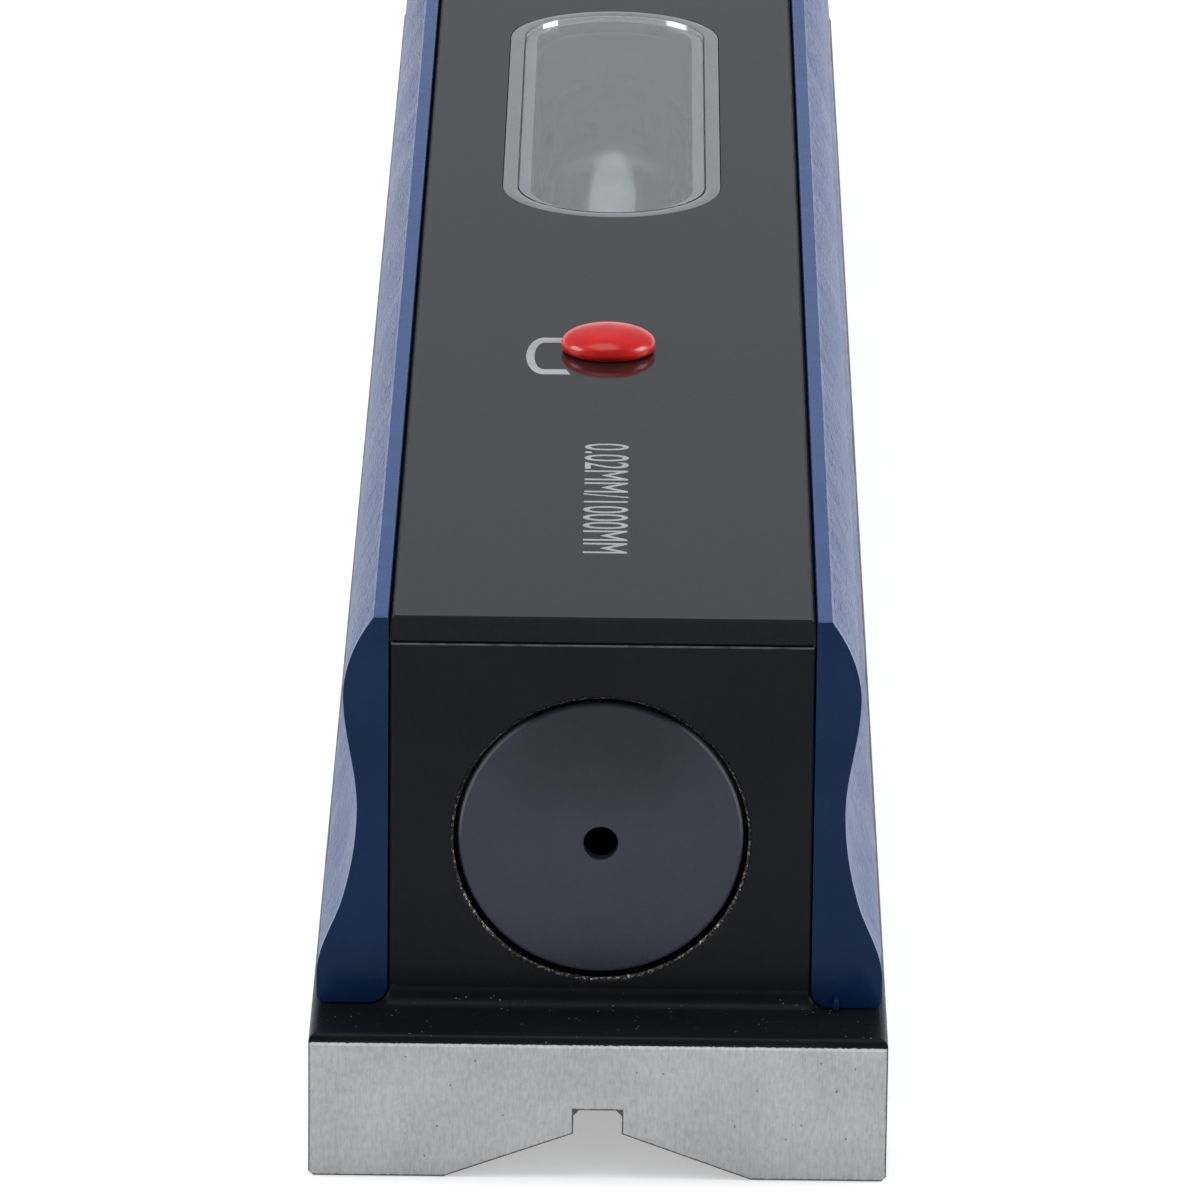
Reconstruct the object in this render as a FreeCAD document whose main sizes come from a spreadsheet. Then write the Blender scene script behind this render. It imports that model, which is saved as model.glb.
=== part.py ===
import FreeCAD, Part
import math
import os
import re

import Sketcher

# A bar level for setting machine beds and slideways true.
#
# Millimetres. X runs across the level, Y along it, Z up. The origin is at the
# bottom centre of the sole. The end at -Y carries the zero adjuster and is
# called the near end; the end at +Y carries the pivot and is the far end.
#
# A cast block stands on a ground sole with a V groove. A bore runs through the
# block from end to end. The spirit vial lies in a slotted carrier tube in that
# bore: cone-point screws pivot the tube at the far end, and at the near end a
# spring lifts it against a ball under a fine-thread screw, which sets the zero.
# A press-in cap closes the screw's well. A plate with a window covers the block.


# Driving sizes: name, number, what it is.
SIZES = (
    # casting
    ("level_length", 300.0, "length of the sole, along Y"),
    ("level_width", 44.0, "width of the sole, along X"),
    ("flange_top", 11.4, "height of the sole flange"),
    ("shoulder_round", 0.6, "rounding along the flange's upper edges"),
    ("sole_chamfer", 0.35, "chamfer along the sole's lower side edges"),
    ("end_setback", 6.8, "how far the block stands back from each end of the sole"),
    ("body_width", 32.3, "width of the block"),
    ("body_top", 40.5, "height of the block, where the gasket lies"),
    ("foot_fillet", 1.5, "fillet where the block stands on the flange"),
    ("corner_round", 0.4, "rounding of the block's four upright edges"),
    # V groove
    ("groove_width", 23.4, "width of the V groove at the sole"),
    ("flank_angle", 20.0, "angle of each groove flank from the sole, degrees"),
    ("slot_width", 3.7, "width of the relief slot at the bottom of the V"),
    ("slot_roof", 5.5, "height of the relief slot's roof"),
    ("slot_corner", 0.45, "chamfer in the relief slot's two corners"),
    # bore and what opens into it
    ("bore_diameter", 22.5, "bore through the block"),
    ("bore_height", 24.9, "height of the bore's axis"),
    ("bore_chamfer", 0.3, "chamfer at the two mouths of the bore"),
    ("sight_length", 62.8, "length of the sight opening over the vial"),
    ("sight_width", 14.0, "width of the sight opening"),
    # cover plate
    ("gasket_thickness", 0.2, "gasket between block and plate"),
    ("plate_thickness", 1.95, "cover plate"),
    ("plate_inset", 0.25, "how far the plate's sides stand in from the block's"),
    ("plate_chamfer", 0.15, "chamfer round the plate's upper edge"),
    ("window_length", 68.0, "window over the bezel"),
    ("window_width", 18.9, "window over the bezel"),
    ("bezel_width", 1.3, "width of the bezel's ring"),
    ("pane_thickness", 1.2, "window pane and bezel"),
    ("pane_gap", 0.04, "play between plate, bezel and pane"),
    # end plugs
    ("plug_diameter", 21.7, "plug that closes the bore"),
    ("plug_recess", 0.4, "how far the plug's face lies inside the mouth"),
    ("plug_length", 9.0, "length of the plug"),
    ("plug_round", 0.3, "chamfer round the plug's face"),
    ("plug_hole_diameter", 2.65, "extraction hole in the plug's face"),
    ("plug_hole_depth", 5.0, "depth of the extraction hole"),
    ("plug_hole_drop", 0.45, "how far the hole lies below the plug's centre"),
    ("seal_section", 1.48, "section of the sealing ring"),
    ("seal_gap", 0.01, "play of the sealing ring in its groove and on the wall"),
    ("seal_setback", 1.2, "from the plug's face to the seal groove"),
    # grips
    ("grip_gap", 0.05, "play between grip and block"),
    ("grip_base", 11.6, "height of the grip's lower face"),
    ("grip_top", 42.5, "height of the grip's upper edge"),
    ("grip_edge_width", 0.75, "thickness of the grip at its upper edge"),
    ("grip_bulge_width", 3.45, "thickness at the upper bulge"),
    ("grip_bulge_height", 36.2, "height of the upper bulge"),
    ("grip_neck_width", 2.38, "thickness at the finger hollow"),
    ("grip_neck_height", 27.3, "height of the finger hollow"),
    ("grip_knee_width", 3.45, "thickness where the foot of the grip flares out"),
    ("grip_knee_height", 20.0, "height where the foot of the grip flares out"),
    ("flange_lip", 0.37, "how far the grip's foot stays inside the flange's edge"),
    ("grip_foot_height", 13.8, "height where the foot turns upright"),
    ("grip_corner", 0.9, "radius of the foot's lower corner"),
    ("grip_round", 0.35, "rounding of the grip's end edges"),
    ("peg_diameter", 4.0, "pegs that hold the grip in the block"),
    ("peg_length", 3.0, "how far a peg stands into the block"),
    ("peg_height", 31.0, "height of the row of pegs"),
    ("peg_spacing", 112.0, "distance between pegs along the grip"),
    ("peg_gap", 0.05, "play round a peg and past its end"),
    ("gate_tab_width", 0.4, "moulding tab left on the right grip's near end"),
    ("gate_tab_height", 0.9, "height of the moulding tab"),
    ("gate_tab_reach", 0.8, "how far the moulding tab stands out"),
    ("gate_tab_place", 1.7, "from the block's side to the moulding tab"),
    # zero adjuster, at the near end
    ("adjuster_offset", 73.2, "from mid-length to the adjusting screw"),
    ("bushing_diameter", 8.0, "brass bushing in the block's upper wall"),
    ("well_diameter", 5.1, "well for the cap's stem in plate and bushing"),
    ("well_depth", 1.0, "depth of the well in the bushing"),
    ("thread_diameter", 4.0, "fine thread of the adjusting screw, as a plain shaft"),
    ("thread_play", 0.02, "radial play of a thread"),
    ("screw_travel", 0.5, "how far the screw moves up or down from its zero"),
    ("screw_room", 0.1, "room left over the screw at the top of its travel"),
    ("hex_key", 2.0, "across the flats of the sockets"),
    ("hex_depth", 1.4, "depth of the sockets"),
    ("ball_diameter", 3.0, "ball under the screw"),
    ("ball_play", 0.02, "play round the ball"),
    ("cup_depth", 1.0, "how far the screw's tip wraps over the ball"),
    ("pad_diameter", 5.6, "hardened pad under the ball"),
    ("pad_thickness", 1.2, "hardened pad under the ball"),
    ("pad_rise", 7.6, "top of the pad above the bore's axis"),
    ("pad_play", 0.03, "play round the pad"),
    # cap
    ("cap_diameter", 7.75, "head of the press-in cap"),
    ("cap_rim", 0.55, "upright rim of the cap's head"),
    ("cap_height", 1.95, "height of the cap's dome over the plate"),
    ("cap_seat", 0.02, "play under the cap's head"),
    ("cap_stem_diameter", 5.0, "stem of the cap"),
    ("cap_stem_length", 2.9, "stem of the cap"),
    ("cap_wall", 0.9, "wall of the hollow stem"),
    ("cap_roof", 0.9, "depth of stem left solid under the head"),
    # carrier tube and its end blocks
    ("pivot_offset", 73.2, "from mid-length to the pivot"),
    ("carrier_diameter", 20.0, "carrier tube"),
    ("carrier_wall", 1.5, "carrier tube"),
    ("carrier_overhang", 11.0, "tube beyond pivot and adjuster"),
    ("trough_length", 116.0, "opening along the top of the tube"),
    ("trough_width", 13.6, "opening along the top of the tube"),
    ("port_diameter", 7.0, "hole in the tube over the pad"),
    ("block_play", 0.02, "radial play of what sits in the tube"),
    ("tail_length", 22.0, "length of each end block"),
    # screws through the block's side walls
    ("side_thread_diameter", 5.0, "thread of pivot and guide screws, as a plain shaft"),
    ("side_screw_inset", 0.4, "how far these screws sit below the block's side"),
    ("cone_depth", 1.9, "depth of each cone seat in the far block"),
    ("cone_play", 0.04, "play between cone point and seat"),
    ("cone_tip_radius", 0.25, "flat at the tip of the cone point"),
    ("pivot_hole_diameter", 5.6, "holes in the tube for the pivot screws"),
    ("guide_nose_diameter", 3.4, "nose of the guide screws"),
    ("guide_nose_length", 0.7, "nose of the guide screws"),
    ("guide_play", 0.03, "play between guide nose and tube"),
    # lifting spring
    ("spring_diameter", 5.6, "outside of the spring"),
    ("spring_wire", 0.7, "wire of the spring"),
    ("spring_turns", 4.5, "turns of the spring"),
    ("spring_floor", 8.6, "height of the floor of the spring's pocket"),
    ("spring_pocket_diameter", 6.4, "pocket of the spring"),
    ("spring_seat_diameter", 6.8, "flat under the tube for the spring"),
    ("spring_seat_depth", 0.4, "depth of that flat"),
    ("spring_play", 0.02, "play at each end of the spring"),
    # vial
    ("vial_diameter", 13.0, "outside of the glass vial"),
    ("vial_wall", 1.5, "wall of the glass vial"),
    ("vial_length", 104.0, "glass vial"),
    ("vial_rise", 4.1, "vial's axis above the bore's axis"),
    ("stopper_length", 7.0, "ground-in stoppers of the vial"),
    ("glass_play", 0.02, "play between glass, stoppers, spirit and saddles"),
    ("saddle_length", 8.0, "saddles that carry the vial"),
    ("saddle_inset", 1.0, "from each end of the vial to its saddle"),
    ("saddle_horn", 0.5, "how far the saddle's arms rise above the vial's axis"),
    ("bubble_level", 2.6, "level of the spirit under the bubble, above the vial's axis"),
    ("bubble_length", 28.0, "bubble"),
    ("bubble_travel", 12.0, "how far the bubble runs each way"),
    ("bubble_play", 0.05, "play between bubble, spirit and glass"),
)

# Sizes that follow from the ones above: name, formula, what it is.
DERIVED = (
    ("block_length", "level_length - 2 * end_setback", "block, plate and grips"),
    ("plate_width", "body_width - 2 * plate_inset", "cover plate and gasket"),
    ("grip_foot_width", "(level_width - body_width) / 2 - grip_gap - flange_lip", "foot"),
    ("groove_depth", "(groove_width - slot_width) / 2 * tan(flank_angle)", "V groove"),
    ("bore_ceiling", "bore_height + bore_diameter / 2", "top of the bore"),
    ("plate_base", "body_top + gasket_thickness", "underside of the plate"),
    ("plate_top", "plate_base + plate_thickness", "top of the plate"),
    ("pane_base", "plate_top - pane_thickness", "ledge for pane and bezel"),
    ("plug_face", "block_length / 2 - plug_recess", "from mid-length to the plug's face"),
    ("seal_centre", "bore_diameter / 2 - seal_section / 2 - seal_gap", "radius of the ring"),
    ("seal_groove", "seal_section + 2 * seal_gap", "width and depth of the groove"),
    ("well_floor", "body_top - well_depth", "floor of the well"),
    ("screw_top", "well_floor - screw_travel - screw_room", "top of the screw at zero"),
    ("pad_top", "bore_height + pad_rise", "top of the pad"),
    ("ball_centre", "pad_top + ball_play + ball_diameter / 2", "height of the ball"),
    ("cup_radius", "ball_diameter / 2 + ball_play", "hollow in the screw's tip"),
    ("screw_tip", "ball_centre + cup_radius - cup_depth", "lower end of the screw"),
    ("carrier_radius", "carrier_diameter / 2", "outside of the tube"),
    ("tail_radius", "carrier_radius - carrier_wall - block_play", "blocks in the tube"),
    ("spring_seat", "bore_height - carrier_radius + spring_seat_depth", "flat under the tube"),
    ("spring_height", "spring_seat - spring_floor - 2 * spring_play", "spring at zero"),
    ("vial_height", "bore_height + vial_rise", "height of the vial's axis"),
    ("vial_bore", "vial_diameter - 2 * vial_wall", "inside of the glass vial"),
    ("spirit_length", "vial_length - 2 * stopper_length - 2 * glass_play", "spirit"),
    ("spirit_radius", "vial_bore / 2 - glass_play", "spirit"),
    ("bubble_base", "vial_height + bubble_level", "level of the spirit"),
)

# The outer face of a grip from its upper edge down, as pairs of width and height.
GRIP_STATIONS = (
    ("grip_edge_width", "grip_top"),
    ("grip_bulge_width", "grip_bulge_height"),
    ("grip_neck_width", "grip_neck_height"),
    ("grip_knee_width", "grip_knee_height"),
    ("grip_foot_width", "grip_foot_height"),
)

# The planes that a PartDesign body offers for its sketches.
FLOOR = "XY_Plane"  # a sketch here has X across and Y along; it faces up
ACROSS = "XZ_Plane"  # a sketch here has X across and Z up; it faces the near end
SIDE = "YZ_Plane"  # a sketch here has Y along and Z up; it faces +X

document = FreeCAD.newDocument("bar_level")


def fill_sheet():
    """Write the driving and derived sizes into the document's spreadsheet."""
    sheet = document.addObject("Spreadsheet::Sheet", "Sizes")
    rows = [(name, str(number), note) for name, number, note in SIZES]
    rows += [(name, "=" + formula, note) for name, formula, note in DERIVED]
    for row, (name, content, note) in enumerate(rows, start=1):
        sheet.set(f"A{row}", name)
        sheet.set(f"B{row}", content)
        sheet.set(f"C{row}", note)
        sheet.setAlias(f"B{row}", name)
    document.recompute()
    return sheet


SHEET = fill_sheet()
SIZE_NAMES = re.compile(r"[a-z]+(?:_[a-z]+)+")


def bound(formula):
    """Turn a formula in size names into an expression on the spreadsheet."""
    return SIZE_NAMES.sub(lambda found: "Sizes." + found.group(0), str(formula))


def number(formula):
    """Work out a formula in size names as a plain number."""
    result = SHEET.evalExpression(bound(formula))
    return float(getattr(result, "Value", result))


# ---------------------------------------------------------------- sketches


def new_body(label):
    """Start a PartDesign body whose label is the piece's name."""
    piece = document.addObject("PartDesign::Body", label)
    piece.Label = label
    return piece


def new_sketch(piece, plane, across="0", along="0", lift="0"):
    """Attach a sketch to one of the body's own origin planes.

    across and along shift the sketch's origin in its plane; lift moves it off
    the plane along the plane's normal.
    """
    sketch = piece.newObject("Sketcher::SketchObject", piece.Label + "_sketch")
    role = next(item for item in piece.Origin.OriginFeatures if item.Role == plane)
    sketch.AttachmentSupport = [(role, "")]
    sketch.MapMode = "FlatFace"
    for axis, formula in (("x", across), ("y", along), ("z", lift)):
        sketch.setExpression(f"AttachmentOffset.Base.{axis}", bound(formula))
    return sketch


def pin(sketch, edge, end, across, along):
    """Hold one point of the sketch at two formulas, measured from its origin."""
    for kind, formula in (("DistanceX", across), ("DistanceY", along)):
        rule = Sketcher.Constraint(kind, -1, 1, edge, end, number(formula))
        row = sketch.addConstraint(rule)
        sketch.setExpression(f"Constraints[{row}]", bound(formula))


def arc_about_axis(start, end):
    """The shorter arc from start to end whose centre lies on the sketch's V axis."""
    rise = (start.x**2 - end.x**2 + start.y**2 - end.y**2) / (2 * (start.y - end.y))
    centre = FreeCAD.Vector(0, rise, 0)
    radius = (start - centre).Length
    halfway = (start + end) / 2 - centre
    middle = centre + halfway.normalize() * radius
    return Part.Arc(start, middle, end)


def draw_outline(sketch, corners):
    """Draw a closed outline through corners given as (across, along) formulas.

    A third entry, "arc", makes the edge that leaves that corner an arc whose
    centre lies on the sketch's V axis.
    """
    spots = [FreeCAD.Vector(number(c[0]), number(c[1]), 0) for c in corners]
    edges = []
    starts_at = []
    for index, start in enumerate(spots):
        end = spots[(index + 1) % len(spots)]
        is_arc = len(corners[index]) > 2
        shape = arc_about_axis(start, end) if is_arc else Part.LineSegment(start, end)
        edge = sketch.addGeometry(shape)
        edges.append(edge)
        starts_at.append(1 if (sketch.getPoint(edge, 1) - start).Length < 1e-6 else 2)
        if is_arc:
            centre = Sketcher.Constraint("PointOnObject", edge, 3, -2)
            sketch.addConstraint(centre)
    for index, edge in enumerate(edges):
        following = (index + 1) % len(edges)
        join = Sketcher.Constraint(
            "Coincident", edge, 3 - starts_at[index], edges[following], starts_at[following]
        )
        sketch.addConstraint(join)
        pin(sketch, edge, starts_at[index], corners[index][0], corners[index][1])


def draw_rectangle(sketch, low_across, high_across, low_along, high_along):
    """Draw a rectangle between four formulas."""
    draw_outline(
        sketch,
        [
            (low_across, low_along),
            (high_across, low_along),
            (high_across, high_along),
            (low_across, high_along),
        ],
    )


def draw_centred_rectangle(sketch, width, length):
    """Draw a rectangle about the sketch's origin."""
    draw_rectangle(
        sketch, f"-({width}) / 2", f"({width}) / 2", f"-({length}) / 2", f"({length}) / 2"
    )


def draw_circle(sketch, across, along, diameter):
    """Draw a circle with its centre at two formulas."""
    centre = FreeCAD.Vector(number(across), number(along), 0)
    circle = Part.Circle(centre, FreeCAD.Vector(0, 0, 1), number(diameter) / 2)
    edge = sketch.addGeometry(circle)
    pin(sketch, edge, 3, across, along)
    row = sketch.addConstraint(Sketcher.Constraint("Diameter", edge, number(diameter)))
    sketch.setExpression(f"Constraints[{row}]", bound(diameter))


def draw_stadium(sketch, length, width):
    """Draw a slot shape about the sketch's origin, its length along the V axis."""
    half_width = f"({width}) / 2"
    half_straight = f"(({length}) - ({width})) / 2"
    radius = number(half_width)
    rise = number(half_straight)
    turn = FreeCAD.Vector(0, 0, 1)
    right = sketch.addGeometry(
        Part.LineSegment(FreeCAD.Vector(radius, -rise, 0), FreeCAD.Vector(radius, rise, 0))
    )
    left = sketch.addGeometry(
        Part.LineSegment(FreeCAD.Vector(-radius, rise, 0), FreeCAD.Vector(-radius, -rise, 0))
    )
    half_turn = math.pi
    upper = sketch.addGeometry(
        Part.ArcOfCircle(Part.Circle(FreeCAD.Vector(0, rise, 0), turn, radius), 0, half_turn)
    )
    lower = sketch.addGeometry(
        Part.ArcOfCircle(
            Part.Circle(FreeCAD.Vector(0, -rise, 0), turn, radius), half_turn, 2 * half_turn
        )
    )
    for one, other in ((right, upper), (upper, left), (left, lower), (lower, right)):
        sketch.addConstraint(Sketcher.Constraint("Coincident", one, 2, other, 1))
    pin(sketch, right, 1, half_width, f"-({half_straight})")
    pin(sketch, right, 2, half_width, half_straight)
    pin(sketch, left, 1, f"-{half_width}", half_straight)
    pin(sketch, left, 2, f"-{half_width}", f"-({half_straight})")
    for arc, formula in ((upper, half_straight), (lower, f"-({half_straight})")):
        row = sketch.addConstraint(
            Sketcher.Constraint("DistanceY", -1, 1, arc, 3, number(formula))
        )
        sketch.setExpression(f"Constraints[{row}]", bound(formula))


def draw_hexagon(sketch, across_flats):
    """Draw a hexagon about the sketch's origin from its size across the flats."""
    reach = f"({across_flats}) / 2 / cos(30)"
    corners = [(f"{reach} * cos({turn})", f"{reach} * sin({turn})") for turn in range(0, 360, 60)]
    draw_outline(sketch, corners)


# ---------------------------------------------------------------- features


def add_feature(piece, kind, sketch):
    """Add a PartDesign feature of one kind on a sketch."""
    feature = piece.newObject("PartDesign::" + kind, piece.Label + "_" + kind.lower())
    feature.Profile = sketch
    return feature


def pad(piece, sketch, length, symmetric=False):
    """Raise a sketch into material."""
    feature = add_feature(piece, "Pad", sketch)
    feature.setExpression("Length", bound(length))
    feature.SideType = "Symmetric" if symmetric else "One side"
    document.recompute()
    return feature


def require_cut(piece, volume_before):
    """Stop if the last feature took nothing away."""
    document.recompute()
    if not piece.Shape.Volume < volume_before - 1e-6:
        raise RuntimeError(f"a cut in {piece.Label} removes nothing")


def pocket(piece, sketch, depth=None, reverse=False):
    """Cut a sketch into a piece, to a depth or right through both ways."""
    volume = piece.Shape.Volume
    feature = add_feature(piece, "Pocket", sketch)
    if depth is None:
        feature.SideType = "Symmetric"
        feature.Type = "ThroughAll"
    else:
        feature.setExpression("Length", bound(depth))
        feature.Reversed = reverse
    require_cut(piece, volume)
    return feature


def revolve(piece, sketch, axis):
    """Turn a sketch right round one of its own axes, V_Axis or H_Axis."""
    feature = add_feature(piece, "Revolution", sketch)
    feature.ReferenceAxis = (sketch, [axis])
    feature.Angle = 360
    document.recompute()
    return feature


def groove(piece, sketch, axis):
    """Cut a sketch turned right round one of its own axes."""
    volume = piece.Shape.Volume
    feature = add_feature(piece, "Groove", sketch)
    feature.ReferenceAxis = (sketch, [axis])
    feature.Angle = 360
    require_cut(piece, volume)
    return feature


def mirror_feature(piece, feature, plane):
    """Repeat a feature on the other side of one of the body's origin planes."""
    twin = piece.newObject("PartDesign::Mirrored", piece.Label + "_mirrored")
    role = next(item for item in piece.Origin.OriginFeatures if item.Role == plane)
    twin.Originals = [feature]
    twin.MirrorPlane = (role, [""])
    volume = piece.Shape.Volume
    piece.Tip = twin
    require_cut(piece, volume)


def dress_edges(piece, kind, size, chosen):
    """Put a Fillet or Chamfer on the edges of the piece that a test chooses."""
    base = piece.Tip
    names = [
        f"Edge{index}"
        for index, edge in enumerate(base.Shape.Edges, start=1)
        if chosen(edge.BoundBox)
    ]
    if not names:
        raise RuntimeError(f"no edge to dress on {piece.Label}")
    feature = piece.newObject("PartDesign::" + kind, piece.Label + "_" + kind.lower())
    feature.Base = (base, names)
    feature.setExpression("Radius" if kind == "Fillet" else "Size", bound(size))
    document.recompute()


def mirrored_copy(label, source, normal):
    """A second piece that is the mirror image of the first."""
    twin = document.addObject("Part::Mirroring", label)
    twin.Label = label
    twin.Source = source
    twin.Normal = FreeCAD.Vector(*normal)
    document.recompute()
    return twin


def level_at(box, height):
    """Whether a flat box lies at one height."""
    return abs(box.ZMin - height) < 1e-4 and abs(box.ZMax - height) < 1e-4


# ---------------------------------------------------------------- casting


def make_casting():
    """The cast block and its ground sole, with every hole that is cut in it."""
    piece = new_body("body_casting")
    section = new_sketch(piece, ACROSS)
    right_side = [
        ("slot_width / 2 - slot_corner", "slot_roof"),
        ("slot_width / 2", "slot_roof - slot_corner"),
        ("slot_width / 2", "groove_depth"),
        ("groove_width / 2", "0"),
        ("level_width / 2 - sole_chamfer", "0"),
        ("level_width / 2", "sole_chamfer"),
        ("level_width / 2", "flange_top"),
    ]
    left_side = [(f"-({across})", height) for across, height in reversed(right_side)]
    draw_outline(section, right_side + left_side)
    pad(piece, section, "level_length", symmetric=True)

    block = new_sketch(piece, FLOOR, lift="flange_top")
    draw_centred_rectangle(block, "body_width", "block_length")
    pad(piece, block, "body_top - flange_top")

    flange = number("flange_top")
    half_block = number("block_length / 2")
    half_body = number("body_width / 2")

    def in_block(box):
        return box.XMax < half_body + 0.01 and box.XMin > -half_body - 0.01

    dress_edges(
        piece, "Fillet", "corner_round",
        lambda box: box.ZLength > 20 and abs(abs(box.YMin) - half_block) < 1e-4,
    )
    dress_edges(
        piece, "Fillet", "foot_fillet",
        lambda box: level_at(box, flange) and in_block(box) and box.YMax < half_block + 0.01
        and box.YMin > -half_block - 0.01,
    )
    dress_edges(
        piece, "Fillet", "shoulder_round",
        lambda box: level_at(box, flange)
        and (box.XLength > number("level_width") - 1 or box.YLength > number("level_length") - 1),
    )

    bore = new_sketch(piece, ACROSS)
    draw_circle(bore, "0", "bore_height", "bore_diameter")
    pocket(piece, bore)
    dress_edges(
        piece, "Chamfer", "bore_chamfer",
        lambda box: box.YLength < 1e-4
        and abs(abs(box.YMin) - half_block) < 1e-4
        and abs(box.XLength - number("bore_diameter")) < 1e-3
        and abs(box.ZLength - number("bore_diameter")) < 1e-3,
    )

    sight = new_sketch(piece, FLOOR, lift="body_top")
    draw_stadium(sight, "sight_length", "sight_width")
    pocket(piece, sight, "body_top - bore_height")

    for diameter, floor in (
        ("bushing_diameter", "bore_height"),
        ("spring_pocket_diameter", "spring_floor"),
    ):
        hole = new_sketch(piece, FLOOR, lift="body_top")
        draw_circle(hole, "0", "-adjuster_offset", diameter)
        pocket(piece, hole, f"body_top - {floor}")

    side_holes = new_sketch(piece, SIDE)
    for place in ("-adjuster_offset", "pivot_offset"):
        draw_circle(side_holes, place, "bore_height", "side_thread_diameter")
    pocket(piece, side_holes)

    peg_holes = new_sketch(piece, SIDE, lift="body_width / 2")
    for place in ("-peg_spacing", "0", "peg_spacing"):
        draw_circle(peg_holes, place, "peg_height", "peg_diameter + 2 * peg_gap")
    holes = pocket(piece, peg_holes, "peg_length + peg_gap")
    mirror_feature(piece, holes, SIDE)
    return piece


# ---------------------------------------------------------------- cover


def make_gasket():
    """The thin gasket between the block and its cover plate."""
    piece = new_body("plate_gasket")
    sheet = new_sketch(piece, FLOOR, lift="body_top")
    draw_centred_rectangle(sheet, "plate_width", "block_length")
    pad(piece, sheet, "gasket_thickness")
    openings = new_sketch(piece, FLOOR, lift="plate_base")
    draw_stadium(openings, "sight_length", "sight_width")
    draw_circle(openings, "0", "-adjuster_offset", "well_diameter")
    pocket(piece, openings, "gasket_thickness")
    return piece


def make_plate():
    """The cover plate, with a stepped window and the well for the cap."""
    piece = new_body("top_plate")
    sheet = new_sketch(piece, FLOOR, lift="plate_base")
    draw_centred_rectangle(sheet, "plate_width", "block_length")
    pad(piece, sheet, "plate_thickness")
    top = number("plate_top")
    dress_edges(piece, "Chamfer", "plate_chamfer", lambda box: level_at(box, top))
    recess = new_sketch(piece, FLOOR, lift="plate_top")
    draw_stadium(recess, "window_length", "window_width")
    pocket(piece, recess, "pane_thickness")
    openings = new_sketch(piece, FLOOR, lift="plate_top")
    draw_stadium(openings, "sight_length", "sight_width")
    draw_circle(openings, "0", "-adjuster_offset", "well_diameter")
    pocket(piece, openings, "plate_thickness")
    return piece


def make_bezel():
    """The flush ring round the window pane."""
    piece = new_body("window_bezel")
    ring = new_sketch(piece, FLOOR, lift="pane_base")
    draw_stadium(ring, "window_length - 2 * pane_gap", "window_width - 2 * pane_gap")
    draw_stadium(ring, "window_length - 2 * bezel_width", "window_width - 2 * bezel_width")
    pad(piece, ring, "pane_thickness")
    return piece


def make_pane():
    """The clear window pane inside the bezel."""
    piece = new_body("window_pane")
    pane = new_sketch(piece, FLOOR, lift="pane_base")
    draw_stadium(
        pane,
        "window_length - 2 * bezel_width - 2 * pane_gap",
        "window_width - 2 * bezel_width - 2 * pane_gap",
    )
    pad(piece, pane, "pane_thickness")
    return piece


# ---------------------------------------------------------------- end plugs


def make_plug():
    """The near end plug: a disc with a seal groove and an extraction hole."""
    piece = new_body("near_end_plug")
    face = "-plug_face"
    groove_start = f"{face} + seal_setback"
    groove_end = f"{groove_start} + seal_groove"
    groove_floor = "seal_centre - seal_groove / 2"
    profile = new_sketch(piece, SIDE, along="bore_height")
    draw_outline(
        profile,
        [
            (face, "0"),
            (face, "plug_diameter / 2 - plug_round"),
            (f"{face} + plug_round", "plug_diameter / 2"),
            (groove_start, "plug_diameter / 2"),
            (groove_start, groove_floor),
            (groove_end, groove_floor),
            (groove_end, "plug_diameter / 2"),
            (f"{face} + plug_length", "plug_diameter / 2"),
            (f"{face} + plug_length", "0"),
        ],
    )
    revolve(piece, profile, "H_Axis")
    hole = new_sketch(piece, ACROSS, lift="plug_face")
    draw_circle(hole, "0", "bore_height - plug_hole_drop", "plug_hole_diameter")
    pocket(piece, hole, "plug_hole_depth")
    return piece


def make_seal():
    """The near plug's sealing ring."""
    piece = new_body("near_plug_seal")
    section = new_sketch(piece, SIDE, along="bore_height")
    place = "-plug_face + seal_setback + seal_groove / 2"
    draw_circle(section, place, "seal_centre", "seal_section")
    revolve(piece, section, "H_Axis")
    return piece


# ---------------------------------------------------------------- grips


def grip_outline():
    """The end outline of the right grip as a closed wire at the near end.

    The outer face is one smooth curve: upper edge, bulge, finger hollow, knee
    and foot.
    """
    inner = number("body_width / 2 + grip_gap")
    near = number("-block_length / 2")

    def spot(thickness, height):
        return FreeCAD.Vector(inner + thickness, near, height)

    top = number("grip_top")
    base = number("grip_base")
    corner = number("grip_corner")
    foot = number("grip_foot_width")
    relief = number("foot_fillet + flange_top - grip_base + 2 * grip_gap")
    stations = [spot(number(width), number(height)) for width, height in GRIP_STATIONS]
    down = FreeCAD.Vector(0, 0, -1)
    slant = FreeCAD.Vector(0.6, 0, -0.8)
    free = FreeCAD.Vector(0, 0, 0)
    curve = Part.BSplineCurve()
    curve.interpolate(
        Points=stations,
        Tangents=[slant, down, down, free, down],
        TangentFlags=[True, True, True, False, True],
    )
    diagonal = corner * 0.5**0.5
    arc = Part.Arc(
        spot(foot, base + corner),
        spot(foot - corner + diagonal, base + corner - diagonal),
        spot(foot - corner, base),
    )
    straight = [
        (spot(foot - corner, base), spot(relief, base)),
        (spot(relief, base), spot(0, base + relief)),
        (spot(0, base + relief), spot(0, top)),
        (spot(0, top), stations[0]),
    ]
    edges = [curve.toShape(), Part.makeLine(stations[-1], spot(foot, base + corner))]
    edges += [arc.toShape()] + [Part.makeLine(start, end) for start, end in straight]
    return Part.Wire(edges)


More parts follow.
